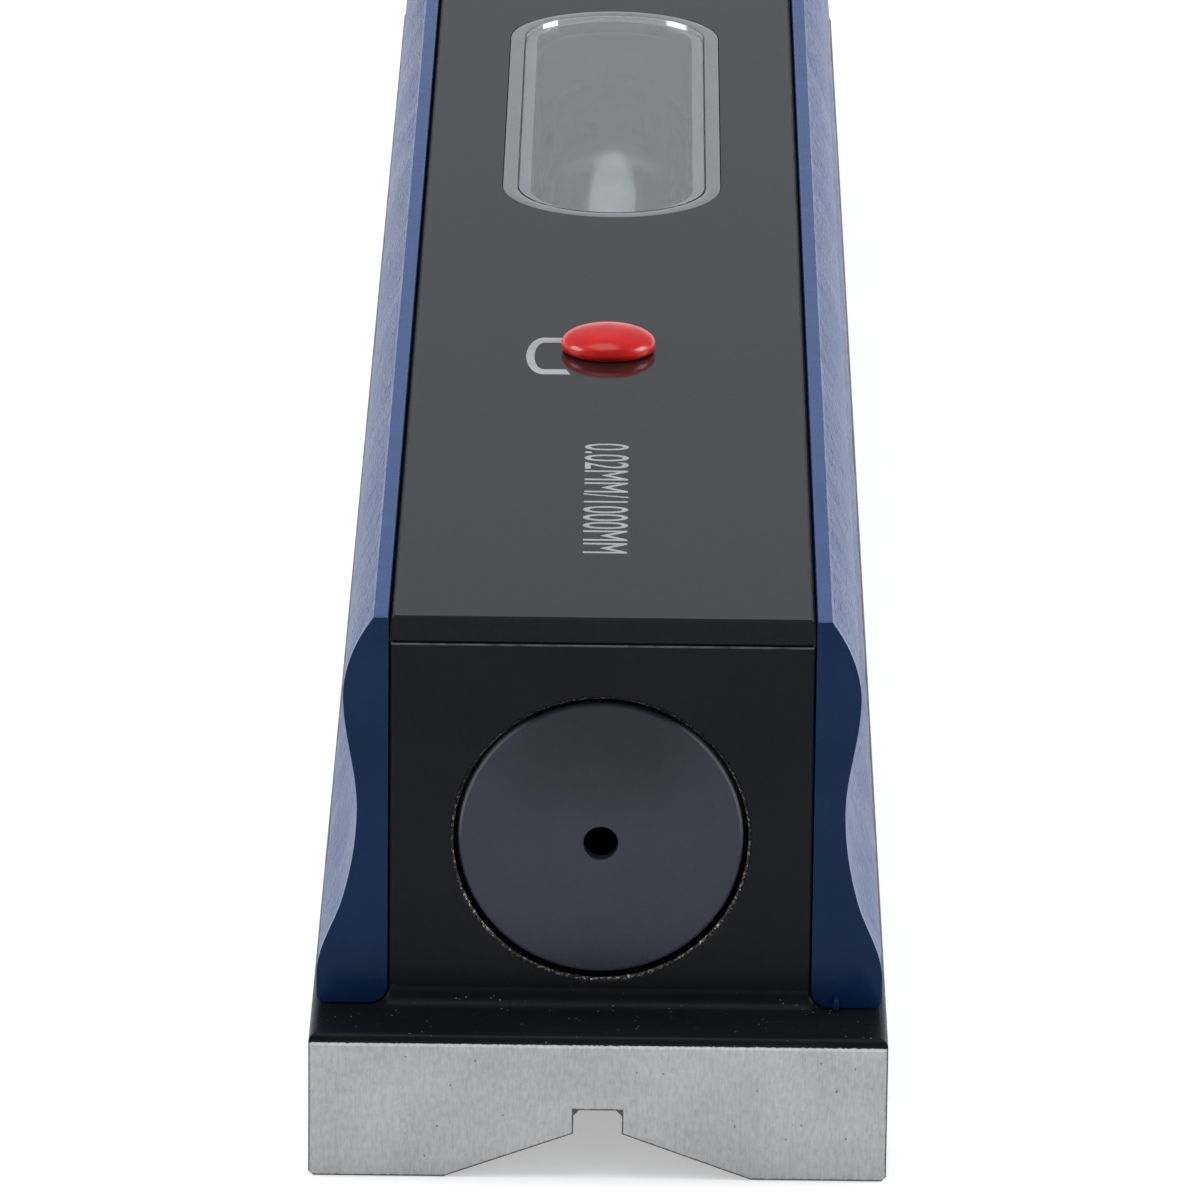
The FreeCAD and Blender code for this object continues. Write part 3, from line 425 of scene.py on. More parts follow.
@dataclass(frozen=True)
class CastingPaint(Finish):
    """Black stoved paint over cast iron, with the sole and the bore left bare."""

    name: str = "casting_paint_and_ground_iron"
    paint_line: float = 10.76
    black: Colour = (0.0055, 0.0065, 0.0085)
    iron: Colour = (0.4, 0.4, 0.403)
    bore_height: float = BORE_HEIGHT
    bore_radius: float = 11.25
    bare_rim: float = -0.03
    mouth_from: float = 12.5
    block_top: float = 40.3
    groove_half: float = 11.7
    groove_slope: float = 0.364
    slot_half: float = 1.85
    slot_roof: float = 5.5
    sole_half: float = 22.0
    edge_clearance: float = 0.16

    def paint(self, bench: SurfaceBench) -> Material:
        """Lay out the nodes of the finish.

        Args:
            bench: The bench that holds the new material.

        Returns:
            The finished material.
        """
        ragged = bench.grain(2.6, detail=5.0, rough=0.7)
        border = bench.calc("MULTIPLY_ADD", ragged, 0.34, bench.z)
        reach = bench.reach(self.bore_height)
        painted = self.painted(bench, border, reach)

        facing = bench.split(bench.add("ShaderNodeTexCoord").outputs["Normal"])
        endness = bench.ease(bench.calc("ABSOLUTE", facing[1]), 0.6, 0.8)
        along_ends = bench.grain((5.5, 0.4, 0.62), detail=5.0, rough=0.74)
        along_sides = bench.grain((0.3, 0.24, 5.5), detail=5.0, rough=0.7)
        lines = bench.mix(endness, along_sides, along_ends)
        pores = bench.ease(bench.cells(0.7, "F1", warp=0.5), 0.03, 0.07)
        deep_pores = bench.ease(bench.cells(0.19, "F1", warp=0.3), 0.016, 0.028)
        sound = bench.times(pores, deep_pores)

        # Painted shade: dark lines along the lower rims of the ground ends, in place of unmodelled
        # chamfers.
        rims = bench.times(self.rims(bench, ragged), endness)
        # Painted highlight: the iron is brightened in a thin band just under the paint line, as a
        # glint along the top edge of the ground faces.
        painted_edge_glint = bench.ease(border, self.paint_line - 0.16, self.paint_line + 0.02, 1.0, 1.3)
        tone = bench.times(
            bench.calc("MULTIPLY_ADD", lines, 0.9, 0.5),
            bench.ease(bench.grain(0.16, detail=3.0), 0.25, 0.75, 0.92, 1.06),
            bench.ease(bench.grain((2.6, 2.6, 1.5), detail=4.0, rough=0.72), 0.3, 0.7, 0.9, 1.1),
            bench.ease(sound, 0.0, 1.0, 0.5, 1.0),
            bench.calc("SUBTRACT", 1.0, rims),
            painted_edge_glint,
        )
        iron = bench.add("ShaderNodeVectorMath", operation="SCALE")
        bench.wire(self.iron, iron.inputs[0])
        bench.wire(tone, iron.inputs[3])
        in_bore = bench.ease(reach, self.bore_radius + 1.0, self.bore_radius + 0.6)
        mouth = bench.times(in_bore, bench.ease(bench.z, self.mouth_from, self.mouth_from + 0.4))
        sparkle = bench.ease(bench.grain(4.2, 4.0, 0.8), 0.5, 0.72)
        raw = bench.blend(sparkle, (0.03, 0.026, 0.025), (0.68, 0.62, 0.6))
        metal = bench.blend(mouth, iron.outputs[0], raw)

        peel = bench.bump(bench.grain(0.9, 2.0, 0.4), 0.012)
        peel = bench.bump(bench.grain(5.5, 3.0, 0.6), 0.004, peel)
        bare = bench.calc("SUBTRACT", 1.0, painted)
        normal = bench.bump(bench.times(lines, bare), 0.01, peel)
        normal = bench.bump(bench.calc("MAXIMUM", sound, painted), 0.03, normal)
        normal = bench.bump(painted, 0.05, normal)
        smooth = bench.ease(bench.grain(1.6, 4.0), 0.3, 0.7, 0.3, 0.4)
        return bench.finish(
            normal,
            Base_Color=bench.blend(painted, metal, self.coat(bench, endness)),
            Metallic=bare,
            Roughness=bench.mix(painted, bench.ease(lines, 0.3, 0.7, 0.34, 0.5), smooth),
            Specular_IOR_Level=0.1,
        )

    def painted(self, bench: SurfaceBench, border: NodeSocket, reach: NodeSocket) -> NodeSocket:
        """Work out where the paint holds: above the sole and outside the bore.

        Args:
            bench: The bench that holds the material.
            border: Height, frayed for the paint's lower edge.
            reach: Distance from the bore's axis.

        Returns:
            1 on paint and 0 on bare iron.
        """
        above = bench.ease(border, self.paint_line + 0.14, self.paint_line + 0.19)
        chipped = bench.calc("MULTIPLY_ADD", bench.grain(3.2, 5.0, 0.75), -0.42, reach)
        outer = self.bore_radius + self.bare_rim
        return bench.times(above, bench.ease(chipped, outer - 0.05, outer + 0.03))

    def coat(self, bench: SurfaceBench, endness: NodeSocket) -> NodeSocket:
        """Colour the paint, with dust above the sole and a painted highlight along the top edges
        of the ends.

        Args:
            bench: The bench that holds the material.
            endness: 1 on the ends and 0 elsewhere.

        Returns:
            The paint's colour.
        """
        dust = bench.times(
            bench.ease(bench.cells(1.7, "F1", warp=0.6), 0.12, 0.06),
            bench.ease(bench.grain(0.6, 2.0), 0.44, 0.6),
            bench.ease(bench.z, 14.0, 11.9),
        )
        sheen = bench.ease(bench.grain(0.07, 2.0), 0.3, 0.7)
        coat = bench.blend(sheen, self.black, (0.0075, 0.0085, 0.011))
        coat = bench.blend(bench.times(dust, 0.6), coat, (0.3, 0.3, 0.31))
        # Painted highlight: a light grey band along the block's top edge on the ends, as the light
        # that edge catches.
        painted_top_edge_highlight = bench.times(
            bench.ease(bench.z, self.block_top, self.block_top + 0.1),
            endness,
            bench.ease(bench.grain(0.7, 3.0), 0.3, 0.55, 0.4, 1.0),
        )
        return bench.blend(painted_top_edge_highlight, coat, (0.11, 0.112, 0.12))

    def rims(self, bench: SurfaceBench, ragged: NodeSocket) -> NodeSocket:
        """Painted shade: dark lines along the lower rims of the ground ends, standing in for
        chamfers the mesh lacks.

        Args:
            bench: The bench that holds the material.
            ragged: Noise that frays the lines.

        Returns:
            1 on a line and 0 off it.
        """
        across = bench.calc("ABSOLUTE", bench.x)
        flank = bench.times(
            bench.calc("SUBTRACT", self.groove_half, across), self.groove_slope
        )
        below = bench.calc("SUBTRACT", bench.z, bench.calc("MAXIMUM", flank, 0.0))
        slot = bench.calc(
            "MAXIMUM",
            bench.calc("SUBTRACT", across, self.slot_half),
            bench.calc("SUBTRACT", bench.z, self.slot_roof),
        )
        side = bench.calc("SUBTRACT", self.sole_half, across)
        nearest = bench.calc("MINIMUM", bench.calc("MINIMUM", below, slot), side)
        frayed = bench.calc("MULTIPLY_ADD", ragged, 0.2, bench.calc("SUBTRACT", nearest, 0.1))
        return bench.ease(frayed, self.edge_clearance, self.edge_clearance * 0.3, 0.0, 0.8)


@dataclass(frozen=True)
class PlatePaint(Finish):
    """Semi-gloss black enamel of the cover plate, with a very fine grain."""

    name: str = "plate_black_enamel"
    black: Colour = (0.0075, 0.0085, 0.0095)

    def paint(self, bench: SurfaceBench) -> Material:
        """Lay out the nodes of the finish.

        Args:
            bench: The bench that holds the new material.

        Returns:
            The finished material.
        """
        fine = bench.grain((2.4, 3.4, 2.4), detail=3.0, rough=0.7)
        clouds = bench.grain(0.05, detail=2.0)
        colour = bench.blend(bench.ease(fine, 0.35, 0.65), self.black, (0.0115, 0.013, 0.014))
        speck = bench.ease(bench.cells(0.42, "F1", warp=0.7), 0.045, 0.02)
        colour = bench.blend(bench.times(speck, 0.35), colour, (0.12, 0.12, 0.12))
        normal = bench.bump(fine, 0.0022)
        normal = bench.bump(bench.grain(0.35, 2.0, 0.4), 0.004, normal)
        return bench.finish(
            normal,
            Base_Color=colour,
            Roughness=bench.ease(clouds, 0.3, 0.7, 0.045, 0.065),
            Specular_IOR_Level=0.36,
        )


@dataclass(frozen=True)
class Moulded(Finish):
    """Plain moulded plastic, rubber or print, with a fine skin."""

    name: str = "moulded"
    colour: Colour = (0.02, 0.02, 0.022)
    second: Colour = (0.03, 0.03, 0.033)
    roughness: float = 0.4
    specular: float = 0.4
    grain: float = 1.5
    depth: float = 0.006

    def paint(self, bench: SurfaceBench) -> Material:
        """Lay out the nodes of the finish.

        Args:
            bench: The bench that holds the new material.

        Returns:
            The finished material.
        """
        fine = bench.grain(self.grain, detail=4.0, rough=0.6)
        clouds = bench.grain(self.grain / 9, detail=2.0)
        share = bench.times(bench.calc("ADD", fine, clouds), 0.5)
        normal = bench.bump(fine, self.depth)
        wear = bench.ease(clouds, 0.3, 0.7, self.roughness * 0.9, self.roughness * 1.12)
        return bench.finish(
            normal,
            Base_Color=bench.blend(bench.ease(share, 0.35, 0.65), self.colour, self.second),
            Roughness=wear,
            Specular_IOR_Level=self.specular,
        )


@dataclass(frozen=True)
class PlugPlastic(Finish):
    """Dark blue-grey plastic of the end plugs, with painted shade towards the top middle and
    painted highlights on the rim's upper sides.
    """

    name: str = "plug_dark_blue_grey"
    # dark is the painted shade at the top middle; light is the colour towards the sides and below.
    dark: Colour = (0.02, 0.0235, 0.033)
    light: Colour = (0.045, 0.048, 0.07)
    painted_rim_highlight: Colour = (0.2, 0.205, 0.23)
    height: float = BORE_HEIGHT
    radius: float = 10.85

    def paint(self, bench: SurfaceBench) -> Material:
        """Lay out the nodes of the finish.

        Args:
            bench: The bench that holds the new material.

        Returns:
            The finished material.
        """
        clouds = bench.grain((0.16, 0.16, 0.1), detail=3.0)
        rise = bench.calc("SUBTRACT", bench.z, self.height)
        across = bench.calc("ABSOLUTE", bench.x)
        # Painted shade: the colour goes from light at the sides and below to dark at the top
        # middle.
        upper = bench.ease(rise, -1.0, 8.0)
        middle = bench.ease(across, 10.5, 3.0)
        shade = bench.times(upper, middle)
        shade = bench.calc("ADD", shade, bench.ease(clouds, 0.3, 0.7, -0.12, 0.12), clamp=True)
        colour = bench.blend(shade, self.light, self.dark)
        # Painted highlight: pale arcs on the rim's upper left and upper right.
        rim = bench.ease(bench.reach(self.height), self.radius - 0.26, self.radius - 0.14)
        highlight_arcs = bench.times(bench.ease(rise, -2.0, 2.5), bench.ease(across, 4.5, 8.0))
        colour = bench.blend(bench.times(rim, highlight_arcs), colour, self.painted_rim_highlight)
        fine = bench.grain(1.4, detail=4.0, rough=0.6)
        return bench.finish(
            bench.bump(fine, 0.003),
            Base_Color=colour,
            Roughness=bench.ease(fine, 0.3, 0.7, 0.26, 0.34),
            Specular_IOR_Level=0.2,
        )


@dataclass(frozen=True)
class GripPlastic(Finish):
    """Blue plastic with a leather grain outside and smooth ends and upper edges."""

    name: str = "grip_blue_leather_grain"
    blue: Colour = (0.01, 0.05, 0.185)
    light: Colour = (0.0135, 0.062, 0.225)
    specular: float = 0.5
    grain_from: float = 17.15
    end_face: float = 142.75

    def paint(self, bench: SurfaceBench) -> Material:
        """Lay out the nodes of the finish.

        Args:
            bench: The bench that holds the new material.

        Returns:
            The finished material.
        """
        across = bench.calc("ABSOLUTE", bench.x)
        along = bench.calc("ABSOLUTE", bench.y)
        outside = bench.ease(across, self.grain_from, self.grain_from + 0.5)
        inside_ends = bench.ease(along, self.end_face, self.end_face - 0.5)
        grained = bench.times(outside, inside_ends)

        creases = bench.ease(bench.cells((1.15, 0.5, 1.15), warp=0.8), 0.0, 0.3)
        wrinkles = bench.ease(bench.cells((2.6, 1.0, 2.6), warp=0.7), 0.0, 0.35)
        skin = bench.calc("MULTIPLY_ADD", creases, 0.55, bench.times(wrinkles, 0.45))
        skin = bench.times(skin, grained)
        clouds = bench.grain(0.12, detail=3.0)
        colour = bench.blend(bench.ease(clouds, 0.3, 0.7), self.blue, self.light)
        # Painted shade: the creases of the leather grain are darkened towards deep navy.
        deep = bench.times(bench.calc("SUBTRACT", grained, skin), 0.35)
        colour = bench.blend(deep, colour, (0.004, 0.02, 0.08))
        scuff = bench.ease(bench.grain((1.4, 0.25, 1.4), 5.0, 0.7), 0.66, 0.78)
        colour = bench.blend(bench.times(scuff, 0.16), colour, (0.1, 0.17, 0.3))
        normal = bench.bump(skin, 0.1)
        normal = bench.bump(bench.grain(4.5, 3.0, 0.6), 0.0035, normal)
        normal = bench.bump(bench.grain(0.3, 2.0), 0.02, normal)
        rough = bench.calc("MULTIPLY_ADD", grained, 0.12, 0.27)
        rough = bench.calc("ADD", rough, bench.ease(clouds, 0.3, 0.7, -0.03, 0.03))
        return bench.finish(
            normal,
            Base_Color=colour,
            Roughness=rough,
            Specular_IOR_Level=self.specular,
        )


@dataclass(frozen=True)
class CapPlastic(Finish):
    """Glossy red moulding of the adjuster cap."""

    name: str = "cap_red_gloss"
    red: Colour = (0.68, 0.006, 0.003)
    deep: Colour = (0.54, 0.004, 0.003)

    def paint(self, bench: SurfaceBench) -> Material:
        """Lay out the nodes of the finish.

        Args:
            bench: The bench that holds the new material.

        Returns:
            The finished material.
        """
        clouds = bench.grain(0.5, detail=3.0)
        normal = bench.bump(bench.grain(0.8, 2.0, 0.4), 0.01)
        normal = bench.bump(bench.grain(7.0, 3.0, 0.6), 0.0018, normal)
        return bench.finish(
            normal,
            Base_Color=bench.blend(bench.ease(clouds, 0.3, 0.7), self.red, self.deep),
            Roughness=bench.ease(bench.grain(1.2, 3.0), 0.3, 0.7, 0.2, 0.26),
            Specular_IOR_Level=0.5,
            Subsurface_Weight=0.12,
            Subsurface_Radius=(0.0012, 0.0003, 0.0002),
            Subsurface_Scale=0.6,
        )


@dataclass(frozen=True)
class Machined(Finish):
    """Turned, milled or drawn metal with marks across one axis."""

    name: str = "machined"
    colour: Colour = (0.6, 0.6, 0.61)
    dark: Colour = (0.4, 0.4, 0.41)
    axis: Axis = Axis.Y
    roughness: float = 0.28
    metallic: float = 1.0
    lines: float = 6.0
    depth: float = 0.006

    def paint(self, bench: SurfaceBench) -> Material:
        """Lay out the nodes of the finish.

        Args:
            bench: The bench that holds the new material.

        Returns:
            The finished material.
        """
        factors = [0.12, 0.12, 0.12]
        factors[self.axis.value] = self.lines
        marks = bench.grain(tuple(factors), detail=3.0, rough=0.6)
        clouds = bench.grain(0.35, detail=4.0, rough=0.6)
        share = bench.calc("MULTIPLY_ADD", marks, 0.6, bench.times(clouds, 0.4))
        normal = bench.bump(marks, self.depth)
        normal = bench.bump(bench.grain(3.0, 3.0), self.depth / 3, normal)
        rough = bench.ease(clouds, 0.3, 0.7, self.roughness * 0.8, self.roughness * 1.25)
        return bench.finish(
            normal,
            Base_Color=bench.blend(bench.ease(share, 0.3, 0.7), self.dark, self.colour),
            Metallic=self.metallic,
            Roughness=rough,
        )


@dataclass(frozen=True)
class ClearFinish(Finish):
    """Glass or liquid that lets light through."""

    name: str = "clear"
    colour: Colour = (1.0, 1.0, 1.0)
    second: Colour = (0.98, 0.99, 0.99)
    ior: float = 1.47
    roughness: float = 0.0
    haze: float = 0.0
    depth: float = 0.001

    def paint(self, bench: SurfaceBench) -> Material:
        """Lay out the nodes of the finish.

        Args:
            bench: The bench that holds the new material.

        Returns:
            The finished material.
        """
        clouds = bench.grain(0.2, detail=3.0)
        fine = bench.grain(1.1, detail=3.0)
        normal = bench.bump(fine, self.depth)
        rough = bench.ease(clouds, 0.3, 0.7, self.roughness, self.roughness + 0.015)
        return bench.finish(
            normal,
            Base_Color=bench.blend(bench.ease(clouds, 0.35, 0.65), self.colour, self.second),
            Roughness=rough,
            IOR=self.ior,
            Transmission_Weight=1.0 - self.haze,
        )


GRIP_SIDES = GripPlastic()
# Painted shade: the grips' smooth end faces use a darker copy of the side blue.
GRIP_ENDS_SHADED = GripPlastic(
    name="grip_blue_end_painted_shade", blue=(0.0045, 0.019, 0.062), light=(0.006, 0.0245, 0.079),
    specular=0.1,
)
BLACK_RUBBER = Moulded(
    name="seal_black_rubber", colour=(0.012, 0.012, 0.013), second=(0.02, 0.02, 0.021),
    roughness=0.6, specular=0.3, grain=2.0, depth=0.01,
)
GASKET_SHEET = Moulded(
    name="gasket_black_sheet", colour=(0.0015, 0.0015, 0.0018), second=(0.0025, 0.0025, 0.003),
    roughness=0.85, specular=0.03, grain=3.0, depth=0.01,
)
PLUG_PLASTIC = PlugPlastic()
PLATE_EDGE = Moulded(
    name="plate_edge_black", colour=(0.009, 0.0095, 0.0115), second=(0.012, 0.0125, 0.015),
    roughness=0.45, specular=0.1, grain=2.0, depth=0.004,
)
BEZEL_ENAMEL = Moulded(
    name="bezel_grey_enamel", colour=(0.2, 0.2, 0.212), second=(0.23, 0.23, 0.243),
    roughness=0.3, specular=0.5, grain=2.2, depth=0.004,
)
MASK_CARD = Moulded(
    name="window_mask_grey", colour=(0.17, 0.175, 0.185), second=(0.2, 0.205, 0.215),
    roughness=0.6, specular=0.3, grain=2.0, depth=0.004,
)
PRINT_INK = Moulded(
    name="print_grey_ink", colour=(0.36, 0.375, 0.39), second=(0.43, 0.445, 0.46),
    roughness=0.5, specular=0.3, grain=4.0, depth=0.004,
)
SCALE_INK = Moulded(
    name="scale_black_ink", colour=(0.008, 0.008, 0.009), second=(0.014, 0.014, 0.015),
    roughness=0.55, specular=0.3, grain=5.0, depth=0.002,
)
BRASS = Machined(
    name="brass_turned", colour=(0.78, 0.57, 0.26), dark=(0.55, 0.38, 0.16), axis=Axis.Z,
)
SADDLE_BRASS = Machined(
    name="brass_milled", colour=(0.74, 0.55, 0.27), dark=(0.52, 0.37, 0.17), axis=Axis.Y,
)
BALL_STEEL = Machined(
    name="steel_ground", colour=(0.62, 0.62, 0.64), dark=(0.5, 0.5, 0.52), axis=Axis.Z,
    roughness=0.12, lines=2.0, depth=0.002,
)
SPRING_WIRE = Machined(
    name="steel_spring_wire", colour=(0.5, 0.5, 0.52), dark=(0.3, 0.3, 0.31), axis=Axis.Z,
    roughness=0.3, lines=5.0,
)
BLACK_STEEL = Machined(
    name="steel_blackened", colour=(0.05, 0.05, 0.055), dark=(0.02, 0.02, 0.023), axis=Axis.Z,
    roughness=0.35, metallic=0.8,
)
CARRIER_ALLOY = Machined(
    name="alloy_turned", colour=(0.74, 0.75, 0.77), dark=(0.56, 0.57, 0.59), axis=Axis.Y,
    roughness=0.3, lines=5.0,
)
WINDOW_GLASS = ClearFinish(name="pane_clear", colour=(0.93, 0.95, 0.97), ior=1.46, roughness=0.03)
VIAL_GLASS = ClearFinish(name="vial_glass_clear", colour=(0.97, 0.99, 0.985), ior=1.47)
GROUND_GLASS = ClearFinish(
    name="stopper_ground_glass", colour=(0.9, 0.92, 0.92), ior=1.47, roughness=0.35, haze=0.5,
)
SPIRIT_TINT = ClearFinish(
    name="spirit_yellow_green", colour=(0.72, 0.93, 0.2), second=(0.75, 0.95, 0.24), ior=1.33,
)
BUBBLE_GAS = ClearFinish(name="bubble_gas", colour=(0.97, 1.0, 0.9), ior=1.12)


# ------------------------------------------------------------------ mesh shop


class MeshShop:
    """Turns a bmesh into a piece that rides on a body and wears a finish."""

    @staticmethod
    def publish(
        name: str,
        mesh: bmesh.types.BMesh,
        body: Body,
        slot: str,
        finish: Finish,
        stands_for: Iterable[str] = (),
        smooth: float = 40.0,
        second: Finish | None = None,
        picks: Callable[[bpy.types.MeshPolygon], bool] | None = None,
    ) -> Object:
        """Make the object of a piece.

        Args:
            name: Name of the piece.
            mesh: Its shape in metres, in the frame's place.
            body: The body it moves with.
            slot: The record's material slot it stands for; not used.
            finish: What covers it.
            stands_for: CAD nodes that it replaces.
            smooth: Edges flatter than this many degrees are shaded smooth, or none at 0.
            second: A finish for some of its faces.
            picks: Tells which faces take the second finish.

        Returns:
            The new object.
        """
        data = bpy.data.meshes.new(name)
        bmesh.ops.remove_doubles(mesh, verts=mesh.verts, dist=1e-7)
        bmesh.ops.recalc_face_normals(mesh, faces=mesh.faces)
        mesh.to_mesh(data)
        mesh.free()
        data.polygons.foreach_set("use_smooth", [smooth > 0.0] * len(data.polygons))
        if smooth > 0.0:
            data.set_sharp_from_angle(angle=math.radians(smooth))
        piece = bpy.data.objects.new(name, data)
        bpy.context.scene.collection.objects.link(piece)
        piece.data.materials.append(finish.material())
        if second is not None and picks is not None:
            piece.data.materials.append(second.material())
            for face in data.polygons:
                face.material_index = int(picks(face))
        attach(piece, body.value)
        for node in stands_for:
            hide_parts(node)
        LOG.info("piece %s: %d faces, on %s", name, len(data.polygons), body.value)
        return piece

    @staticmethod
    def copy_node(node: str) -> bmesh.types.BMesh:
        """Take a CAD node's shape, with its loose triangles joined.

        Args:
            node: The node's name.

        Returns:
            The shape in metres.
        """
        mesh = bmesh.new()
        mesh.from_mesh(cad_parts[node].data)
        bmesh.ops.remove_doubles(mesh, verts=mesh.verts, dist=1e-6)
        return mesh

    @staticmethod
    def loop(mesh: bmesh.types.BMesh, points: Sequence[Point], closed: bool) -> list:
        """Lay a run of vertices and edges.

        Args:
            mesh: The bmesh to add to.
            points: Places in metres.
            closed: Whether the last point joins the first.

        Returns:
            The vertices and edges, ready for an operator.
        """
        corners = [mesh.verts.new(point) for point in points]
        pairs = list(zip(corners, corners[1:]))
        if closed:
            pairs.append((corners[-1], corners[0]))
        return corners + [mesh.edges.new(pair) for pair in pairs]

    @staticmethod
    def spin(
        mesh: bmesh.types.BMesh,
        geometry: list,
        centre: Point,
        axis: Point,
        degrees: float,
        steps: int,
    ) -> list:
        """Turn geometry about an axis.

        Args:
            mesh: The bmesh to work on.
            geometry: Vertices and edges to turn.
            centre: A point on the axis, in metres.
            axis: Direction of the axis.
            degrees: How far to turn.
            steps: Number of steps.

        Returns:
            The geometry at the end of the turn.
        """
        return bmesh.ops.spin(
            mesh,
            geom=geometry,
            cent=Vector(centre),
            axis=Vector(axis),
            angle=math.radians(degrees),
            steps=steps,
            use_merge=abs(degrees) >= 360.0,
            use_duplicate=False,
        )["geom_last"]

    @staticmethod
    def draw_out(mesh: bmesh.types.BMesh, geometry: list, step: Point, steps: int) -> list:
        """Extrude geometry in equal steps.

        Args:
            mesh: The bmesh to work on.
            geometry: Vertices and edges to extrude.
            step: One step, in metres.
            steps: Number of steps.

        Returns:
            The geometry at the end of the last step.
        """
        return bmesh.ops.spin(
            mesh, geom=geometry, cent=Vector(), axis=Vector((0, 0, 1)), dvec=Vector(step),
            angle=0.0, steps=steps, use_merge=False, use_duplicate=False,
        )["geom_last"]

    @staticmethod
    def edges_of(geometry: Iterable) -> list[bmesh.types.BMEdge]:
        """The edges among an operator's geometry."""
        return [part for part in geometry if isinstance(part, bmesh.types.BMEdge)]

    @staticmethod
    def thicken(mesh: bmesh.types.BMesh, height: float) -> None:
        """Give level faces a thickness upwards.

        Args:
            mesh: Flat, level faces.
            height: Their thickness, in metres.
        """
        raised = bmesh.ops.extrude_face_region(mesh, geom=mesh.faces[:])["geom"]
        corners = [part for part in raised if isinstance(part, bmesh.types.BMVert)]
        bmesh.ops.translate(mesh, verts=corners, vec=(0, 0, height))

    @staticmethod
    def bevel(
        mesh: bmesh.types.BMesh,
        edges: list[bmesh.types.BMEdge],
        size: float,
        segments: int = 2,
        clamp: bool = False,
    ) -> None:
        """Round edges off.

        Args:
            mesh: The bmesh to work on.
            edges: Its edges to round.
            size: Size of the rounding, in millimetres.
            segments: Number of steps in it.
            clamp: Whether it gives way where edges crowd.
        """
        bmesh.ops.bevel(
            mesh, geom=edges, offset=size * MM, offset_type="OFFSET", affect="EDGES",
            segments=segments, profile=0.5, material=-1, clamp_overlap=clamp,
        )


# ------------------------------------------------------------------ CAD pieces


def dress(finishes: dict[str, Finish]) -> None:
    """Give CAD nodes their finishes.

    Args:
        finishes: Finish of each node, by the node's name.
    """
    for node, finish in finishes.items():
        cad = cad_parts[node]
        cad.data.materials.clear()
        cad.data.materials.append(finish.material())
        LOG.info("node %s: %s", node, finish.name)


# ------------------------------------------------------------------ sub-assemblies


@dataclass
class Casting:
    """The iron body: ground V-groove sole, painted flange, block and bored ends."""

    paint: CastingPaint = field(default_factory=CastingPaint)

    def dress(self) -> None:
        """Give the casting its paint and ground faces."""
        dress({"body_casting": self.paint})


@dataclass
class CoverPlate:
    """The black cover plate with its gasket and the marks printed on it."""

    top: float = PLATE_TOP
    ink: float = 0.012
    legend: str = "0.02MM/1000MM"
    legend_near: float = -127.3
    legend_far: float = -99.0
    legend_low: float = -1.72
    legend_high: float = 1.79
    arc_centre: tuple[float, float] = (-5.25, -75.1)
    arc_outside: tuple[float, float] = (1.45, 5.15)
    arc_inside: tuple[float, float] = (0.78, 3.75)
    arc_bar: float = 1.85
    arc_slant: float = 0.35
    arc_steps: int = 40

    def dress(self) -> None:
        """Give the gasket its finish."""
        dress({"plate_gasket": GASKET_SHEET})

    def build(self) -> Object:
        """Enamel the plate's face and leave its edges duller.

        Returns:
            The plate's piece.
        """
        return MeshShop.publish(
            "top_plate_enamelled", MeshShop.copy_node("top_plate"), Body.LEVEL, "plate",
            PlatePaint(), ["top_plate"], smooth=0.0,
            second=PLATE_EDGE, picks=lambda face: face.normal.z < 0.99,
        )

    def print_legend(self) -> Object:
        """Print the sensitivity along the plate.

        Returns:
            The legend's piece.
        """
        curve = bpy.data.curves.new("legend_draft", "FONT")
        curve.body = self.legend
        curve.size = 1.0
        draft = bpy.data.objects.new("legend_draft", curve)
        bpy.context.scene.collection.objects.link(draft)
        bpy.context.view_layer.update()
        flat = bpy.data.meshes.new_from_object(
            draft.evaluated_get(bpy.context.evaluated_depsgraph_get())
        )
        bpy.data.objects.remove(draft)
        mesh = bmesh.new()
        mesh.from_mesh(flat)
        bpy.data.meshes.remove(flat)
        lows = [min(v.co[i] for v in mesh.verts) for i in (0, 1)]
        highs = [max(v.co[i] for v in mesh.verts) for i in (0, 1)]
        length = self.legend_far - self.legend_near
        height = self.legend_high - self.legend_low
        narrow = length / (highs[0] - lows[0])
        tall = height / (highs[1] - lows[1])
        for corner in mesh.verts:
            run, rise = corner.co[0] - lows[0], corner.co[1] - lows[1]
            corner.co = Vector(
                (self.legend_low + rise * tall, self.legend_far - run * narrow, self.top)
            ) * MM
        MeshShop.thicken(mesh, self.ink * MM)
        return MeshShop.publish("plate_legend", mesh, Body.LEVEL, "bezel", PRINT_INK)

    def print_arc(self) -> Object:
        """Print the open ring beside the adjuster cap.

        Returns:
            The arc's piece.
        """
        mesh = bmesh.new()
        centre_x, centre_y = self.arc_centre
        points: list[Point] = []
        for (wide, tall), slant, order in (
            (self.arc_outside, self.arc_slant, 1), (self.arc_inside, 0.0, -1),
        ):
            run = [(self.arc_bar + slant, tall)]
            for share in range(self.arc_steps + 1):
                turn = math.radians(90.0 + 180.0 * share / self.arc_steps)
                run.append((math.cos(turn) * wide, math.sin(turn) * tall))
            run.append((self.arc_bar + slant, -tall))
            points += [
                ((centre_x + x) * MM, (centre_y + y) * MM, self.top * MM)
                for x, y in run[::order]
            ]
        edges = MeshShop.edges_of(MeshShop.loop(mesh, points, closed=True))
        bmesh.ops.contextual_create(mesh, geom=edges)
        MeshShop.thicken(mesh, self.ink * MM)
        return MeshShop.publish("plate_arc_mark", mesh, Body.LEVEL, "bezel", PRINT_INK)


